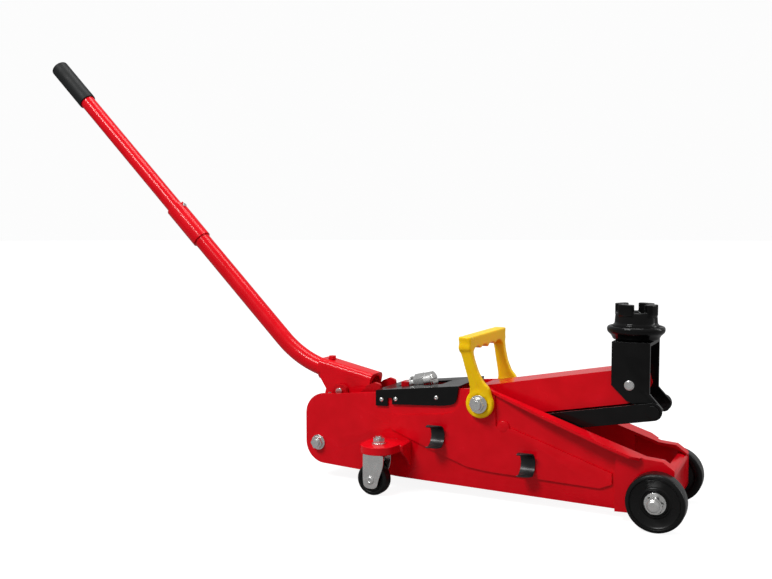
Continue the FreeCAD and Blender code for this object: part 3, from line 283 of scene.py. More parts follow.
finishes = {
    "red_paint": enamel("redEnamel", {
        "colour": (0.74, 0.002, 0.010), "deep": (0.66, 0.001, 0.007), "metal": (0.60, 0.03, 0.03),
        "shine": 0.10, "rough": 0.22, "coat": 0.15, "coatRough": 0.04,
        "ripple": 420.0, "wave": 45.0, "bump": 0.015,
        "wear": 0.45, "wearWidth": 0.0008, "breakup": 260.0, "dust": 0.01, "dustColour": (0.5, 0.4, 0.38)}),
    "red_casting": enamel("redCasting", {
        "colour": (0.60, 0.002, 0.008), "deep": (0.48, 0.001, 0.005), "metal": (0.40, 0.03, 0.03),
        "rough": 0.34, "coat": 0.08, "coatRough": 0.14, "ripple": 900.0, "wave": 240.0, "bump": 0.35,
        "shine": 0.12, "wear": 0.5, "wearWidth": 0.001,
        "breakup": 300.0, "dust": 0.05, "dustColour": (0.5, 0.4, 0.38)}),
    "black_paint": enamel("blackEnamel", {
        "colour": (0.005, 0.005, 0.005), "deep": (0.003, 0.003, 0.003), "metal": (0.03, 0.03, 0.03),
        "rough": 0.20, "coat": 0.14, "coatRough": 0.04, "ripple": 420.0, "wave": 60.0, "bump": 0.03,
        "shine": 0.12, "wear": 0.45, "wearWidth": 0.0007,
        "breakup": 280.0, "dust": 0.008, "dustColour": (0.3, 0.3, 0.3)}),
    "black_clip": enamel("clipBlack", {
        "colour": (0.014, 0.014, 0.015), "deep": (0.008, 0.008, 0.008), "metal": (0.15, 0.15, 0.15),
        "rough": 0.34, "coat": 0.1, "coatRough": 0.2, "ripple": 900.0, "wave": 150.0, "bump": 0.12,
        "shine": 0.35, "wear": 0.5, "wearWidth": 0.0005,
        "breakup": 400.0, "dust": 0.05, "dustColour": (0.3, 0.3, 0.3)}),
    "zinc": metal("zincPlate", {
        "colour": (0.80, 0.80, 0.79), "deep": (0.68, 0.68, 0.67), "metal": (0.86, 0.86, 0.85),
        "rough": 0.26, "spangle": 1300.0, "haze": 160.0, "bump": 0.006,
        "wear": 0.5, "wearWidth": 0.0004, "breakup": 500.0}),
    "bright_steel": metal("groundSteel", {
        "colour": (0.70, 0.70, 0.71), "deep": (0.58, 0.58, 0.59), "metal": (0.82, 0.82, 0.82),
        "rough": 0.16, "spangle": 2600.0, "haze": 90.0, "bump": 0.06,
        "wear": 0.4, "wearWidth": 0.0004, "breakup": 500.0}),
    "spring_steel": metal("springSteel", {
        "colour": (0.34, 0.34, 0.35), "deep": (0.24, 0.24, 0.25), "metal": (0.5, 0.5, 0.5),
        "rough": 0.34, "spangle": 2200.0, "haze": 220.0, "bump": 0.1,
        "wear": 0.3, "wearWidth": 0.0003, "breakup": 600.0}),
    "black_wheel": polymer("wheelBlack", {
        "colour": (0.006, 0.006, 0.006), "deep": (0.004, 0.004, 0.004), "scuff": (0.02, 0.02, 0.02),
        "shine": 0.2, "rough": 0.28, "grain": 1200.0, "flow": 60.0, "bump": 0.10, "glow": 0.0,
        "wear": 0.5, "wearWidth": 0.0008, "breakup": 300.0, "dust": 0.02, "dustColour": (0.25, 0.24,
        0.23)}),
    "caster_tread": polymer("treadRubber", {
        "colour": (0.007, 0.007, 0.007), "deep": (0.005, 0.005, 0.005), "scuff": (0.03, 0.03, 0.03),
        "shine": 0.2, "rough": 0.32, "grain": 1800.0, "flow": 120.0, "bump": 0.18, "glow": 0.0,
        "wear": 0.5, "wearWidth": 0.0006, "breakup": 500.0, "dust": 0.08, "dustColour": (0.25, 0.24,
        0.23)}),
    "yellow_plastic": polymer("yellowPlastic", {
        "colour": (1.0, 0.66, 0.002), "deep": (1.0, 0.58, 0.001), "scuff": (1.0, 0.72, 0.10), "shine": 0.2,
        "rough": 0.30, "grain": 1400.0, "flow": 40.0, "bump": 0.08, "glow": 0.12,
        "wear": 0.4, "wearWidth": 0.0008, "breakup": 300.0, "dust": 0.02, "dustColour": (0.7, 0.6, 0.4)}),
    "black_rubber": polymer("gripRubber", {
        "colour": (0.011, 0.012, 0.012), "deep": (0.008, 0.009, 0.009), "scuff": (0.03, 0.03, 0.03),
        "shine": 0.2, "rough": 0.55, "grain": 2000.0, "flow": 90.0, "bump": 0.25, "glow": 0.0,
        "wear": 0.4, "wearWidth": 0.0008, "breakup": 400.0, "dust": 0.02, "dustColour": (0.2, 0.2, 0.2)}),
    "seal_rubber": polymer("sealRubber", {
        "colour": (0.020, 0.020, 0.022), "deep": (0.012, 0.012, 0.013), "scuff": (0.05, 0.05, 0.05),
        "rough": 0.40, "grain": 2200.0, "flow": 120.0, "bump": 0.12, "glow": 0.0,
        "wear": 0.3, "wearWidth": 0.0004, "breakup": 500.0, "dust": 0.05, "dustColour": (0.2, 0.2, 0.2)}),
}
print("finishes made:", len(finishes))


# Shapes

slotOf = {part["node"]: part["material_slot"] for part in frame["record"]["subparts"]}
bodyOf = {node: body for body, members in frame["record"]["behaviour"]["bodies"].items() for node in members}
axisZ = Matrix.Identity(4)


def sideAxis(side):
    return Matrix.Rotation(math.radians(-90 * side), 4, "X")


def centreOf(node):
    low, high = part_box(node)
    return (low + high) / 2


def cleanCopy(node):
    shape = bmesh.new()
    shape.from_mesh(frame["nodes"][node].data)
    bmesh.ops.remove_doubles(shape, verts=shape.verts, dist=0.00001)
    bmesh.ops.dissolve_limit(shape, angle_limit=math.radians(0.6), verts=shape.verts, edges=shape.edges)
    return shape


def looseObject(name, shape, smoothBelow=35.0):
    bmesh.ops.recalc_face_normals(shape, faces=shape.faces)
    mesh = bpy.data.meshes.new(name)
    shape.to_mesh(mesh)
    shape.free()
    mesh.shade_smooth()
    mesh.set_sharp_from_angle(angle=math.radians(smoothBelow))
    thing = bpy.data.objects.new(name, mesh)
    scene.collection.objects.link(thing)
    return thing


def asPiece(thing, nodes, slot=None):
    thing.data.materials.clear()
    thing.data.materials.append(finishes[slot or slotOf[nodes[0]]])
    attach(thing, bodyOf[nodes[0]])
    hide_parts(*nodes)
    return thing


def softEdges(piece, width, segments=3, angle=28.0):
    bevel = piece.modifiers.new("softEdges", "BEVEL")
    bevel.width = width
    bevel.segments = segments
    bevel.limit_method = "ANGLE"
    bevel.angle_limit = math.radians(angle)
    bevel.harden_normals = True
    bevel.use_clamp_overlap = True
    bevel.miter_outer = "MITER_ARC"


def camel(node):
    words = node.split("_")
    return words[0] + "".join(word.capitalize() for word in words[1:])


def baked(thing):
    # modifiers are evaluated once and dropped, so the piece is plain mesh
    bpy.context.view_layer.update()
    mesh = bpy.data.meshes.new_from_object(thing.evaluated_get(bpy.context.evaluated_depsgraph_get()))
    thing.modifiers.clear()
    thing.data = mesh
    return thing


def moulded(thing, voxel, passes):
    # one skin over overlapping solids, with every edge and inside corner rounded
    skin = thing.modifiers.new("skin", "REMESH")
    skin.mode = "VOXEL"
    skin.voxel_size = voxel
    soften = thing.modifiers.new("soften", "SMOOTH")
    soften.factor = 0.5
    soften.iterations = passes
    baked(thing)
    thing.data.shade_smooth()
    return thing


def softPath(corners, closed=False, steps=4):
    # corners are (along, out, radius); each is replaced by an arc of about that radius
    path = []
    for index, (u, v, radius) in enumerate(corners):
        here = Vector((u, v))
        if radius == 0 or (not closed and index in (0, len(corners) - 1)):
            path.append(here)
            continue
        before = Vector(corners[index - 1][:2]) - here
        after = Vector(corners[(index + 1) % len(corners)][:2]) - here
        start = here + before.normalized() * min(radius, before.length * 0.48)
        stop = here + after.normalized() * min(radius, after.length * 0.48)
        for step in range(steps + 1):
            share = step / steps
            path.append(start.lerp(here, share).lerp(here.lerp(stop, share), share))
    return path


def spin(shape, path, place, segments=96, closed=False):
    # path of (radius, height) turned round the z axis of place; a radius of 0 closes the end
    rings = []
    for radius, height in path:
        count = segments if radius > 1e-7 else 1
        rings.append([shape.verts.new(place @ Vector((radius * math.cos(math.tau * step / segments),
                                                      radius * math.sin(math.tau * step / segments),
                                                          height)))
                      for step in range(count)])
    for low, high in zip(rings, rings[1:] + ([rings[0]] if closed else [])):
        for step in range(segments):
            following = (step + 1) % segments
            corners = [low[step % len(low)], low[following % len(low)],
                       high[following % len(high)], high[step % len(high)]]
            corners = list(dict.fromkeys(corners))
            if len(corners) > 2:
                shape.faces.new(corners)


def prism(shape, outline, near, far, toPoint):
    # outline of (u, v) carried from near to far; toPoint turns (u, v, w) into a place
    first = [shape.verts.new(toPoint(u, v, near)) for u, v in outline]
    second = [shape.verts.new(toPoint(u, v, far)) for u, v in outline]
    shape.faces.new(first)
    shape.faces.new(list(reversed(second)))
    for index in range(len(outline)):
        following = (index + 1) % len(outline)
        shape.faces.new([first[index], second[index], second[following], first[following]])


def millimetres(corners):
    return [(u * 0.001, v * 0.001, radius * 0.001) for u, v, radius in corners]


# Repeated fasteners

def makeRepeater():
    # puts one template on every point of a mesh, turned to the point's aim, and joins them
    group = bpy.data.node_groups.new("repeatOnPoints", "GeometryNodeTree")
    sockets = {}
    for label, kind in (("Points", "Geometry"), ("Template", "Object"), ("Finish", "Material"),
                        ("Size", "Float"), ("Turn Spread", "Float"), ("Seed", "Int")):
        socket = group.interface.new_socket(label, in_out="INPUT", socket_type="NodeSocket" + kind)
        sockets[label] = socket.identifier
    group.interface.new_socket("Parts", in_out="OUTPUT", socket_type="NodeSocketGeometry")
    start = group.nodes.new("NodeGroupInput")
    end = group.nodes.new("NodeGroupOutput")
    template = put(group, "GeometryNodeObjectInfo", {"transform_space": "ORIGINAL"},
                   Object=start.outputs["Template"])
    aim = put(group, "GeometryNodeInputNamedAttribute", {"data_type": "FLOAT_VECTOR"}, Name="aim")
    facing = put(group, "FunctionNodeAlignRotationToVector", {"axis": "Z"}, Vector=aim.outputs["Attribute"])
    turn = put(group, "FunctionNodeRandomValue", {"data_type": "FLOAT"}, Seed=start.outputs["Seed"])
    least = maths(group, "MULTIPLY", start.outputs["Turn Spread"], -1.0)
    group.links.new(least, turn.inputs[2])
    group.links.new(start.outputs["Turn Spread"], turn.inputs[3])
    about = put(group, "ShaderNodeCombineXYZ", Z=turn.outputs[1])
    spun = put(group, "FunctionNodeRotateRotation", {"rotation_space": "LOCAL"},
               Rotation=facing.outputs[0])
    group.links.new(about.outputs[0], spun.inputs[1])
    placed = put(group, "GeometryNodeInstanceOnPoints", Points=start.outputs["Points"],
                 Instance=template.outputs["Geometry"], Rotation=spun.outputs[0],
                     Scale=start.outputs["Size"])
    joined = put(group, "GeometryNodeRealizeInstances", Geometry=placed.outputs[0])
    finished = put(group, "GeometryNodeSetMaterial", Geometry=joined.outputs[0],
                   Material=start.outputs["Finish"])
    group.links.new(finished.outputs[0], end.inputs[0])
    return group, sockets


repeater, repeaterSockets = makeRepeater()


def repeated(name, template, places, nodes, slot=None, spread=0.0, seed=1):
    # places are (point, aim) pairs; the template's z axis follows the aim
    mesh = bpy.data.meshes.new(name)
    mesh.from_pydata([point for point, aim in places], [], [])
    aims = mesh.attributes.new("aim", "FLOAT_VECTOR", "POINT")
    for index, (point, aim) in enumerate(places):
        aims.data[index].vector = aim
    thing = bpy.data.objects.new(name, mesh)
    scene.collection.objects.link(thing)
    modifier = thing.modifiers.new("repeat", "NODES")
    modifier.node_group = repeater
    values = {"Template": template, "Finish": finishes[slot or slotOf[nodes[0]]], "Size": 1.0,
              "Turn Spread": spread, "Seed": seed}
    for label, value in values.items():
        modifier[repeaterSockets[label]] = value
    baked(thing)
    bpy.data.objects.remove(template)
    return asPiece(thing, nodes, slot)


def hexNut(shape, flats, height, bore, chamfer=0.0008, sides=48):
    # six-sided nut whose corners are cut back by a cone at the outer end
    rows = []
    across = flats / 2
    for level, limit in ((0.0, across * 1.155), (height - chamfer, across * 1.155), (height,
        across * 1.02)):
        ring = []
        for step in range(sides):
            angle = math.tau * step / sides
            folded = (angle + math.pi / 6) % (math.pi / 3) - math.pi / 6
            reach = min(across / math.cos(folded), limit)
            ring.append(shape.verts.new((reach * math.cos(angle), reach * math.sin(angle), level)))
        rows.append(ring)
    for level in (height, 0.0):
        rows.append([shape.verts.new((bore * math.cos(math.tau * step / sides),
                                      bore * math.sin(math.tau * step / sides),
                                          level)) for step in range(sides)])
    for low, high in zip(rows, rows[1:] + rows[:1]):
        for step in range(sides):
            following = (step + 1) % sides
            shape.faces.new([low[step], low[following], high[following], high[step]])


# Front wheels

frontWheel = {
    "segments": 128,
    # (radius, distance from the inner face, corner radius), in mm
    "profile": [(6.6, 1.6, 0.4), (12.0, 1.6, 0.6), (13.2, 0.2, 0.8), (21.5, 1.8, 0.8), (23.2, 0.2, 0.8),
                (28.0, 0.0, 2.5), (31.0, 1.2, 2.6), (31.0, 19.6, 3.6), (27.6, 21.0, 1.6), (26.6, 20.9, 0.8),
                (26.0, 19.4, 0.6), (24.6, 18.4, 1.2), (16.6, 15.4, 1.2), (15.6, 16.3, 0.8), (14.2, 16.3,
                    0.8),
                (13.6, 15.4, 0.6), (6.6, 15.4, 0.4)],
}


def makeFrontWheel(node, side):
    low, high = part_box(node)
    inner = low.y if side > 0 else high.y
    centre = Vector((centreOf(node).x, inner, centreOf(node).z))
    shape = bmesh.new()
    path = softPath(millimetres(frontWheel["profile"]), closed=True)
    spin(shape, path, Matrix.Translation(centre) @ sideAxis(side), frontWheel["segments"], closed=True)
    asPiece(looseObject(camel(node), shape, 50.0), [node])


makeFrontWheel("front_wheel_right", -1)
makeFrontWheel("front_wheel_left", 1)

# Axle with its nuts, and cover screws

fasteners = {
    "nutFlats": 0.0170, "nutHeight": 0.0084, "nutBore": 0.0065, "nutSeed": 4,
    "screwRadius": 0.0028, "screwHeight": 0.0019, "screwSeat": 0.0002, "screwSeed": 7,
    # axle end: round tip, then thread grooves
    "axleRadius": 0.0065, "tipRadius": 0.0046, "tipLength": 0.0016, "threadRoot": 0.0059,
    "threadStart": 0.0020, "threadPitch": 0.0010, "threadTurns": 3,
}


def makeAxleNuts():
    low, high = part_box("axle_nuts")
    centre = centreOf("axle_nuts")
    height = fasteners["nutHeight"]
    shape = bmesh.new()
    hexNut(shape, fasteners["nutFlats"], height, fasteners["nutBore"])
    template = looseObject("nutTemplate", shape, 30.0)
    places = [(Vector((centre.x, high.y - height, centre.z)), (0, 1, 0)),
              (Vector((centre.x, low.y + height, centre.z)), (0, -1, 0))]
    repeated("axleNuts", template, places, ["axle_nuts"], spread=0.4, seed=fasteners["nutSeed"])


def makeAxle():
    low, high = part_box("front_axle")
    centre = centreOf("front_axle")
    half = (high.y - low.y) / 2
    full = fasteners["axleRadius"]
    root = fasteners["threadRoot"]
    pitch = fasteners["threadPitch"]
    path = [(0, -half, 0), (fasteners["tipRadius"], -half, 0.001)]
    path.append((full, -half + fasteners["tipLength"], 0.0012))
    start = -half + fasteners["threadStart"]
    for _ in range(fasteners["threadTurns"]):
        path += [(full, start, 0), (root, start + pitch * 0.45, 0), (full, start + pitch * 0.9, 0)]
        start += pitch
    path += [(radius, -along, corner) for radius, along, corner in reversed(path)]
    shape = bmesh.new()
    spin(shape, softPath(path), Matrix.Translation(centre) @ sideAxis(1), 48)
    asPiece(looseObject("frontAxle", shape), ["front_axle"])


def makeCoverScrews():
    radius = fasteners["screwRadius"]
    height = fasteners["screwHeight"]
    seat = -fasteners["screwSeat"]
    shape = bmesh.new()
    path = [(0, seat, 0), (radius, seat, 0.0002), (radius, height * 0.5, 0.0008)]
    path += [(radius * 0.55, height, 0.001), (radius * 0.30, height, 0.0001)]
    path += [(radius * 0.22, height * 0.45, 0), (0, height * 0.45, 0)]
    spin(shape, softPath(path), axisZ, 32)
    template = looseObject("screwTemplate", shape)
    source = cleanCopy("cover_screws")
    places = []
    for island in islandsOf(source):
        middle = sum((vert.co for vert in island), Vector()) / len(island)
        side = 1 if middle.y > 0 else -1
        outer = max(side * vert.co.y for vert in island)
        lows = [min(vert.co[axis] for vert in island) for axis in (0, 2)]
        highs = [max(vert.co[axis] for vert in island) for axis in (0, 2)]
        places.append((Vector(((lows[0] + highs[0]) / 2, side * (outer - height),
            (lows[1] + highs[1]) / 2)),
                       (0, side, 0)))
    source.free()
    repeated("coverScrews", template, places, ["cover_screws"], spread=3.0,
             seed=fasteners["screwSeed"])


def islandsOf(shape):
    left = set(shape.verts)
    islands = []
    while left:
        island = {left.pop()}
        edge = list(island)
        while edge:
            vert = edge.pop()
            for link in vert.link_edges:
                other = link.other_vert(vert)
                if other in left:
                    left.remove(other)
                    island.add(other)
                    edge.append(other)
        islands.append(sorted(island, key=lambda vert: vert.index))
    islands.sort(key=lambda island: tuple(round(value, 5) for value in island[0].co))
    return islands


makeAxleNuts()
makeAxle()
makeCoverScrews()
print("wheels and fasteners made")

# Saddle

saddleShape = {
    "voxel": 0.55, "passes": 7, "lugs": 4, "lugTurn": 22.0, "lugWidth": 20.0,
    "lugInner": 14.8, "lugShoulder": 22.0, "lugOuter": 23.3, "lugHeight": 12.5,
    # (radius, height from the lug tops, corner radius), in mm
    "dish": [(0, -48.6, 0), (12.0, -48.6, 0.5), (12.0, -40.0, 0.5), (25.0, -39.6, 2), (26.6, -35.0, 3),
             (31.5, -31.0, 2.4), (31.5, -25.6, 2.2), (28.4, -24.0, 1.6), (26.6, -26.6, 1),
             (25.2, -26.8, 0.8), (24.9, -22.6, 1), (23.4, -21.8, 1), (22.4, -9.0, 1.6), (17.0, -9.0, 1.2),
             (14.0, -13.4, 1), (0, -14, 0)],
}


def makeSaddle():
    centre = Vector((centreOf("saddle").x, 0.0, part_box("saddle")[1].z))
    shape = bmesh.new()
    place = Matrix.Translation(centre)
    spin(shape, softPath(millimetres(saddleShape["dish"])), place, 96)
    inner, shoulder, outer = (saddleShape[key] for key in ("lugInner", "lugShoulder", "lugOuter"))
    for lug in range(saddleShape["lugs"]):
        angle = math.radians(saddleShape["lugTurn"] + 45 + 360 * lug / saddleShape["lugs"])
        turn = place @ Matrix.Rotation(angle, 4, "Z")
        half = saddleShape["lugWidth"] / 2
        corners = [(inner, -half + 2, 2), (shoulder, -half, 2.6), (outer, -half * 0.4, 2),
                   (outer, half * 0.4, 2), (shoulder, half, 2.6), (inner, half - 2, 2)]
        prism(shape, softPath(millimetres(corners), closed=True), -saddleShape["lugHeight"] * 0.001, 0.0,
              lambda u, v, w: turn @ Vector((u, v, w)))
    thing = looseObject("saddle", shape)
    moulded(thing, saddleShape["voxel"] * 0.001, saddleShape["passes"])
    asPiece(thing, ["saddle"])


makeSaddle()

# Carry handle

handleShape = {
    "voxel": 0.85, "passes": 36,
    "eyeRadius": 16.9, "eyeBore": 6.9, "eyeThick": 8.0, "eyeInner": 43.2, "pivotInset": 17.0,
    "recessRadius": 10.6, "recessDepth": 1.4,
    # leg edges as (height above the pivot, rear edge, front edge), in mm from the pivot
    "leg": [(8.0, -12.0, 14.4), (19.0, -11.0, 12.0), (27.0, -12.4, 4.6), (38.0, -15.0, -0.6),
            (52.0, -18.0, -4.6), (64.0, -21.2, -6.6), (78.0, -21.4, -6.6)],
    "barTop": 78.0, "barDepth": 18.0, "barRear": -21.4, "barFront": -6.6, "cornerRadius": 14.0,
    "scallops": (-36.0, -12.0, 12.0, 36.0), "scallopHalf": 11.6, "scallopDepth": 4.6,
    "barRound": 4.0, "barSteps": 60, "barTuck": 3.4, "barSide": 30.0, "roundFrom": 5.2,
    # hollow along the rear half of each leg, and where the legs start to lean outwards
    "flute": 1.6, "fluteFront": (1.5, -0.5), "fluteRear": (2.6, 1.4), "flareFrom": 11.0, "endThick": 9.5,
}


def makeCarryHandle():
    low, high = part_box("carry_handle")
    inset = handleShape["pivotInset"] * 0.001
    endThick = handleShape["endThick"] * 0.001
    pivot = Vector((high.x - inset, 0.0, low.z + inset))
    half = high.y
    shape = bmesh.new()
    eyeInner = handleShape["eyeInner"] * 0.001
    thick = handleShape["eyeThick"] * 0.001
    span = handleShape["barTop"] * 0.001
    flare = handleShape["flareFrom"] * 0.001
    frontEdge, frontFoot = handleShape["fluteFront"]
    rearFoot, rearEdge = handleShape["fluteRear"]
    for side in (-1, 1):
        recess = handleShape["recessRadius"]
        rim = handleShape["eyeRadius"]
        depth = handleShape["recessDepth"]
        face = handleShape["eyeThick"]
        bore = handleShape["eyeBore"]
        eye = [(bore, 0, 0), (rim, 0, 1.5), (rim, face, 2.5), (recess + 1.2, face, 1.0),
               (recess, face - depth, 0.6), (bore, face - depth, 0)]
        foot = Vector((pivot.x, side * eyeInner, pivot.z))
        spin(shape, softPath(millimetres(eye), closed=True), Matrix.Translation(foot) @ sideAxis(side), 64,
             closed=True)
        rows = []
        for height, rear, front in handleShape["leg"]:
            share = max(0.0, (height * 0.001 - flare) / (span - flare))
            inner = eyeInner + (half - endThick - eyeInner) * share
            outer = inner + thick + (endThick - thick) * share
            middle = (rear + front) / 2
            fluted = outer - handleShape["flute"] * 0.001 * (1 - share)
            section = [(rear, inner), (front, inner), (front, outer), (middle + frontEdge, outer),
                       (middle + frontFoot, fluted), (rear + rearFoot, fluted), (rear + rearEdge, outer),
                       (rear, outer)]
            rows.append([shape.verts.new((pivot.x + x * 0.001, side * y, pivot.z + height * 0.001))
                         for x, y in section])
        for lower, upper in zip(rows, rows[1:]):
            for index in range(len(lower)):
                following = (index + 1) % len(lower)
                shape.faces.new([lower[index], lower[following], upper[following], upper[index]])
        shape.faces.new(rows[0])
        shape.faces.new(list(reversed(rows[-1])))
    outline = []
    bottom = span - handleShape["barDepth"] * 0.001
    corner = handleShape["cornerRadius"]
    top = handleShape["barTop"]
    steps = handleShape["barSteps"]
    for step in range(steps + 1):
        y = -half + endThick + (2 * half - 2 * endThick) * step / steps
        lift = 0.0
        for middle in handleShape["scallops"]:
            away = abs(y * 1000 - middle) / handleShape["scallopHalf"]
            if away < 1:
                lift = handleShape["scallopDepth"] * math.sqrt(1 - away * away)
        outline.append((y, bottom + lift * 0.001))
    out = half * 1000
    foot = top - handleShape["barSide"]
    ends = [(out, foot, 0), (out, top, corner), (-out, top, corner), (-out, foot, 0)]
    edge = softPath(millimetres(ends), steps=8)
    tuck = handleShape["barTuck"] * 0.001
    outline += [(half - tuck, bottom)] + [tuple(point) for point in edge[1:-1]] + [(-half + tuck, bottom)]
    rear = pivot.x + handleShape["barRear"] * 0.001
    front = pivot.x + handleShape["barFront"] * 0.001
    before = set(shape.verts)
    prism(shape, outline, rear, front, lambda u, v, w: Vector((w, u, pivot.z + v)))
    floorOfBar = pivot.z + bottom + handleShape["roundFrom"] * 0.001
    rims = [edge for edge in shape.edges if not before.intersection(edge.verts)
            and abs(edge.verts[0].co.x - edge.verts[1].co.x) < 1e-6
            and min(vert.co.z for vert in edge.verts) > floorOfBar]
    bmesh.ops.bevel(shape, geom=rims, offset=handleShape["barRound"] * 0.001, segments=4, profile=0.5,
                    affect="EDGES", clamp_overlap=False)
    thing = looseObject("carryHandle", shape)
    moulded(thing, handleShape["voxel"] * 0.001, handleShape["passes"])
    asPiece(thing, ["carry_handle"])


makeCarryHandle()
print("saddle and carry handle made")

# Casters

# profile of a caster wheel: (radius, distance across, corner radius), in mm
casterWheel = [
    (3.1, 0.2, 0.3), (7.0, 0.2, 0.6), (8.0, 1.6, 0.6), (13.6, 1.6, 0.8), (14.8, 0.1, 1.0), (17.0, 0.0, 2.0),
    (19.4, 2.0, 3.2), (19.5, 14.0, 3.2), (17.0, 16.0, 2.0), (14.8, 15.9, 1.0), (13.6, 14.4, 0.8),
    (8.0, 14.4, 0.6), (7.0, 15.8, 0.6), (3.1, 15.8, 0.3),
]


def makeCasterWheel(node):
    centre = Vector((centreOf(node).x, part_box(node)[0].y, centreOf(node).z))
    shape = bmesh.new()
    path = softPath(millimetres(casterWheel), closed=True)
    spin(shape, path, Matrix.Translation(centre) @ sideAxis(1), 96, closed=True)
    asPiece(looseObject(camel(node), shape, 50.0), [node])


makeCasterWheel("caster_wheel_right")
makeCasterWheel("caster_wheel_left")

casterFork = {
    # (along, height, corner radius) of a side plate, in mm from the axle
    "plate": [(-9.7, 30.8, 1.5), (17.2, 30.8, 2), (17.2, 18.0, 14), (11.0, 2.0, 8), (8.4, -10.2, 9),
              (-8.0, -10.2, 9), (-10.0, 0.0, 9)],
    "thick": 2.0, "reach": 11.2, "edge": 0.0004,
    "bridge": (-9.5, 17.0), "bridgeHeight": (28.8, 30.6), "bridgeInset": 0.2,
}
# head of a caster rivet: (radius, distance from its end, corner radius), in mm
rivetHead = [(0, -1.1, 0), (1.3, -1.1, 0.3), (2.0, 0, 0.5), (3.8, 0, 0.8), (5.0, -1.3, 0.4), (5.0, -1.9, 0.2),
             (2.9, -1.9, 0.1)]


def makeCasterAxle(node):
    low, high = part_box(node)
    centre = centreOf(node)
    shape = bmesh.new()
    half = (high.y - low.y) / 2 * 1000
    path = softPath(millimetres([(radius, half + along, corner) for radius, along, corner in rivetHead]))
    path = [Vector((radius, -along)) for radius, along in path] + list(reversed(path))
    spin(shape, path, Matrix.Translation(centre) @ sideAxis(1), 48)
    asPiece(looseObject(camel(node), shape), [node])


makeCasterAxle("caster_axle_right")
makeCasterAxle("caster_axle_left")


def makeCasterFork(node, wheel):
    axle = centreOf(wheel)
    shape = bmesh.new()
    outline = softPath(millimetres(casterFork["plate"]), closed=True, steps=8)
    thick = casterFork["thick"] * 0.001
    reach = casterFork["reach"] * 0.001
    for near, far in ((axle.y - reach, axle.y - reach + thick), (axle.y + reach - thick, axle.y + reach)):
        prism(shape, outline, near, far, lambda u, v, w: Vector((axle.x + u, w, axle.z + v)))
    rear, front = (value * 0.001 for value in casterFork["bridge"])
    low, high = (value * 0.001 for value in casterFork["bridgeHeight"])
    across = reach - casterFork["bridgeInset"] * 0.001
    flat = [(rear, axle.y - across), (front, axle.y - across),
            (front, axle.y + across), (rear, axle.y + across)]
    prism(shape, flat, axle.z + low, axle.z + high, lambda u, v, w: Vector((axle.x + u, v, w)))
    thing = looseObject(camel(node), shape)
    softEdges(thing, casterFork["edge"], 2)
    asPiece(thing, [node])


makeCasterFork("caster_fork_right", "caster_wheel_right")
makeCasterFork("caster_fork_left", "caster_wheel_left")

casterShelf = {
    "voxel": 0.6, "passes": 6, "rim": 2.6, "rimDrop": 6.4, "plateFace": 40.0, "thick": 4.0,
    "rimTop": 1.0, "rimFoot": 3.0, "webThick": 3.2, "ringStart": 12, "ringSteps": 32,
    # (distance out from the plate, height below the shelf top, corner radius) of the web, in mm
    "web": [(0, -1, 0), (26, -1, 2), (24, -12, 8), (12, -19, 10), (3, -31.4, 3), (0, -31.4, 0)],
}


def makeCasterShelf(node, side):
    low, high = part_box(node)
    inner = casterShelf["plateFace"] * 0.001
    outer = max(abs(low.y), abs(high.y))
    kingpin = centreOf("caster_kingpins").x
    radius = kingpin - low.x
    front = high.x
    top = high.z
    start = casterShelf["ringStart"]
    steps = casterShelf["ringSteps"]
    shape = bmesh.new()

    def toPlace(u, v, w):
        return Vector((u, side * v, w))

    def ring(reach, forward):
        points = [(forward, inner)]
        middle = outer - radius
        for step in range(steps + 1):
            angle = math.radians(start + (180 - start) * step / steps)
            points.append((kingpin + reach * math.cos(angle), middle + reach * math.sin(angle)))
        points.append((kingpin - reach, inner))
        return points

    rim = casterShelf["rim"] * 0.001
    outside = ring(radius, front)
    inside = ring(radius - rim, front - rim)
    rimLow = top - casterShelf["rimDrop"] * 0.001 - casterShelf["rimFoot"] * 0.001
    rimHigh = top - casterShelf["rimTop"] * 0.001
    webThick = casterShelf["webThick"] * 0.001
    prism(shape, outside, top - casterShelf["thick"] * 0.001, top, toPlace)
    strip = outside + list(reversed(inside))
    prism(shape, strip, rimLow, rimHigh, toPlace)
    web = softPath(millimetres(casterShelf["web"]))
    webOutline = [(inner + u, top + v) for u, v in web]
    prism(shape, webOutline, front - webThick, front, lambda u, v, w: Vector((w, side * u, v)))
    thing = looseObject(camel(node), shape)
    moulded(thing, casterShelf["voxel"] * 0.001, casterShelf["passes"])
    asPiece(thing, [node])


makeCasterShelf("caster_bracket_right", -1)
makeCasterShelf("caster_bracket_left", 1)
print("casters made")

# Handle clips and link bosses

clipShape = {
    "radius": 13.5, "wall": 1.5, "reach": 111.0, "halfWidth": 8.4, "tipWidth": -4.5, "taperFrom": 70.0,
    "taper": 1.6, "steps": 56,
}


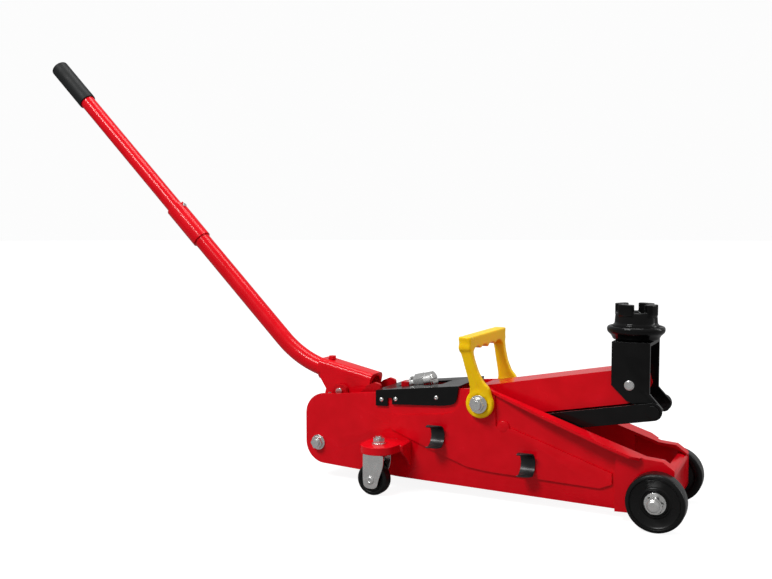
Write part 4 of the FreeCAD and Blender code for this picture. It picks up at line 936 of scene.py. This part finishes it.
def makeClips():
    outer = clipShape["radius"] * 0.001
    hollow = outer - clipShape["wall"] * 0.001
    half = clipShape["halfWidth"] * 0.001
    tip = clipShape["tipWidth"] * 0.001
    start = clipShape["taperFrom"]
    shape = bmesh.new()
    source = cleanCopy("handle_clips")
    for island in islandsOf(source):
        lows = [min(vert.co[axis] for vert in island) for axis in range(3)]
        highs = [max(vert.co[axis] for vert in island) for axis in range(3)]
        middle = Vector(((lows[0] + highs[0]) / 2, highs[1] - outer, (lows[2] + highs[2]) / 2))
        rows = []
        for step in range(clipShape["steps"] + 1):
            angle = clipShape["reach"] * (2 * step / clipShape["steps"] - 1)
            beyond = max(0.0, (abs(angle) - start) / (clipShape["reach"] - start)) ** clipShape["taper"]
            cut = half + (tip - half) * beyond
            turn = math.radians(angle)
            row = []
            for reach, along in ((outer, -half), (outer, cut), (hollow, cut), (hollow, -half)):
                spot = Vector((along, reach * math.cos(turn), reach * math.sin(turn)))
                row.append(shape.verts.new(middle + spot))
            rows.append(row)
        for lower, upper in zip(rows, rows[1:]):
            for index in range(4):
                following = (index + 1) % 4
                shape.faces.new([lower[index], lower[following], upper[following], upper[index]])
        shape.faces.new(rows[0])
        shape.faces.new(list(reversed(rows[-1])))
    source.free()
    thing = looseObject("handleClips", shape)
    softEdges(thing, 0.0003, 2)
    asPiece(thing, ["handle_clips"])


studShape = {
    "root": 39.0,
    # (radius, distance out from the root, corner radius), in mm
    "profile": [(0, -9.0, 0), (8.0, -9.0, 0.3), (8.0, 2.6, 1.0), (5.0, 3.9, 3.0), (0, 4.2, 0)],
}


def makeStuds():
    # each stud's outer end is a low dome pressed through the plate
    centre = centreOf("link_pivot_studs")
    shape = bmesh.new()
    for side in (-1, 1):
        root = Vector((centre.x, side * studShape["root"] * 0.001, centre.z))
        path = softPath(millimetres(studShape["profile"]))
        spin(shape, path, Matrix.Translation(root) @ sideAxis(side), 48)
    asPiece(looseObject("linkPivotStuds", shape), ["link_pivot_studs"], "red_paint")


makeClips()
makeStuds()
print("clips and studs made")

# The pump spring gets a mesh of its own


def makePumpSpring():
    piece = asPiece(looseObject("pumpSpring", cleanCopy("pump_spring")), ["pump_spring"])
    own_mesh(piece)


makePumpSpring()

# Everything else keeps its own outline and gets soft edges

edgeRadius = {
    "side_plate_right": 0.0009, "side_plate_left": 0.0009, "front_cross_plate": 0.0009,
    "top_cover": 0.0007, "lift_arm": 0.0010, "saddle_bracket": 0.0014, "bracket_pin": 0.0004,
    "link_bars": 0.0010, "handle_socket": 0.0010, "axle_washers": 0.0004, "arm_pivot_nuts": 0.0005,
    "rear_tie_bolt": 0.0004, "caster_kingpins": 0.0003,
    "release_valve": 0.0004, "handle_grip": 0.0008, "handle_coupling": 0.0005, "pump_base": 0.0008,
    "oil_reservoir": 0.0010, "lower_handle_tube": 0.0003, "upper_handle_tube": 0.0003,
    "link_rivets": 0.0005, "arm_pivot_shaft": 0.0005, "clamp_screw": 0.0004,
    "snap_button": 0.0004, "socket_pin": 0.0004,
}
for node, width in edgeRadius.items():
    piece = looseObject(camel(node), cleanCopy(node))
    softEdges(piece, width)
    asPiece(piece, [node])

for node, thing in frame["nodes"].items():
    thing.data.materials.clear()
    thing.data.materials.append(finishes[slotOf[node]])
print("pieces made:", len(edgeRadius))


# Floor, light and camera

studio = {
    "floorRadius": 30.0, "floorDrop": 0.0002, "floorTint": 0.26, "floorGlow": 0.90,
    "fill": 0.42, "backdrop": 0.975,
    # name: (place, target, size, power)
    "lights": {
        "keyLight": ((-0.5, -1.6, 1.9), (0.1, 0.0, 0.1), (0.9, 0.5), 36.0),
        "topLight": ((0.1, 0.3, 2.2), (0.1, 0.0, 0.1), (1.3, 0.8), 24.0),
        "rimLight": ((1.9, 0.9, 0.9), (0.2, 0.0, 0.15), (0.3, 1.4), 9.0),
    },
}


def makeFloor():
    shape = bmesh.new()
    bmesh.ops.create_circle(shape, cap_ends=True, radius=studio["floorRadius"], segments=96)
    mesh = bpy.data.meshes.new("floor")
    shape.to_mesh(mesh)
    shape.free()
    floor = bpy.data.objects.new("floor", mesh)
    scene.collection.objects.link(floor)
    floor.location.z = cadBox[0].z - studio["floorDrop"]
    material, tree, shader = startFinish("paleFloor")
    shader.inputs["Base Color"].default_value = (*[studio["floorTint"]] * 3, 1.0)
    shader.inputs["Roughness"].default_value = 0.9
    shader.inputs["Specular IOR Level"].default_value = 0.1
    shader.inputs["Emission Color"].default_value = (1.0, 1.0, 1.0, 1.0)
    seen = put(tree, "ShaderNodeLightPath").outputs["Is Camera Ray"]
    tree.links.new(maths(tree, "MULTIPLY", seen, studio["floorGlow"]), shader.inputs["Emission Strength"])
    mesh.materials.append(material)


def makeWorld():
    world = bpy.data.worlds.new("studio")
    scene.world = world
    world.use_nodes = True
    tree = world.node_tree
    background = tree.nodes["Background"]
    seen = put(tree, "ShaderNodeLightPath").outputs["Is Camera Ray"]
    strength = put(tree, "ShaderNodeMix", {"data_type": "FLOAT"}, in0=seen)
    strength.inputs[2].default_value = studio["fill"]
    strength.inputs[3].default_value = studio["backdrop"]
    tree.links.new(strength.outputs[0], background.inputs["Strength"])
    background.inputs["Color"].default_value = (1.0, 1.0, 1.0, 1.0)


def softbox(name, place, target, size, power):
    light = bpy.data.lights.new(name, "AREA")
    light.shape = "RECTANGLE"
    light.size = size[0]
    light.size_y = size[1]
    light.energy = power
    lamp = bpy.data.objects.new(name, light)
    lamp.location = place
    lamp.rotation_euler = (Vector(target) - Vector(place)).to_track_quat("-Z", "Y").to_euler()
    scene.collection.objects.link(lamp)


def makeCamera():
    view = {"place": (0.60072, -1.02698, 0.31346), "turn": 26.46, "dip": 3.67, "lens": 42.57}
    data = bpy.data.cameras.new("camera")
    data.sensor_width = 36.0
    data.lens = view["lens"]
    data.clip_start = 0.05
    data.clip_end = 100.0
    camera = bpy.data.objects.new("camera", data)
    camera.location = view["place"]
    camera.rotation_euler = (math.radians(90 - view["dip"]), 0.0, math.radians(view["turn"]))
    scene.collection.objects.link(camera)
    scene.camera = camera


makeFloor()
makeWorld()
for name, settings in studio["lights"].items():
    softbox(name, *settings)
makeCamera()
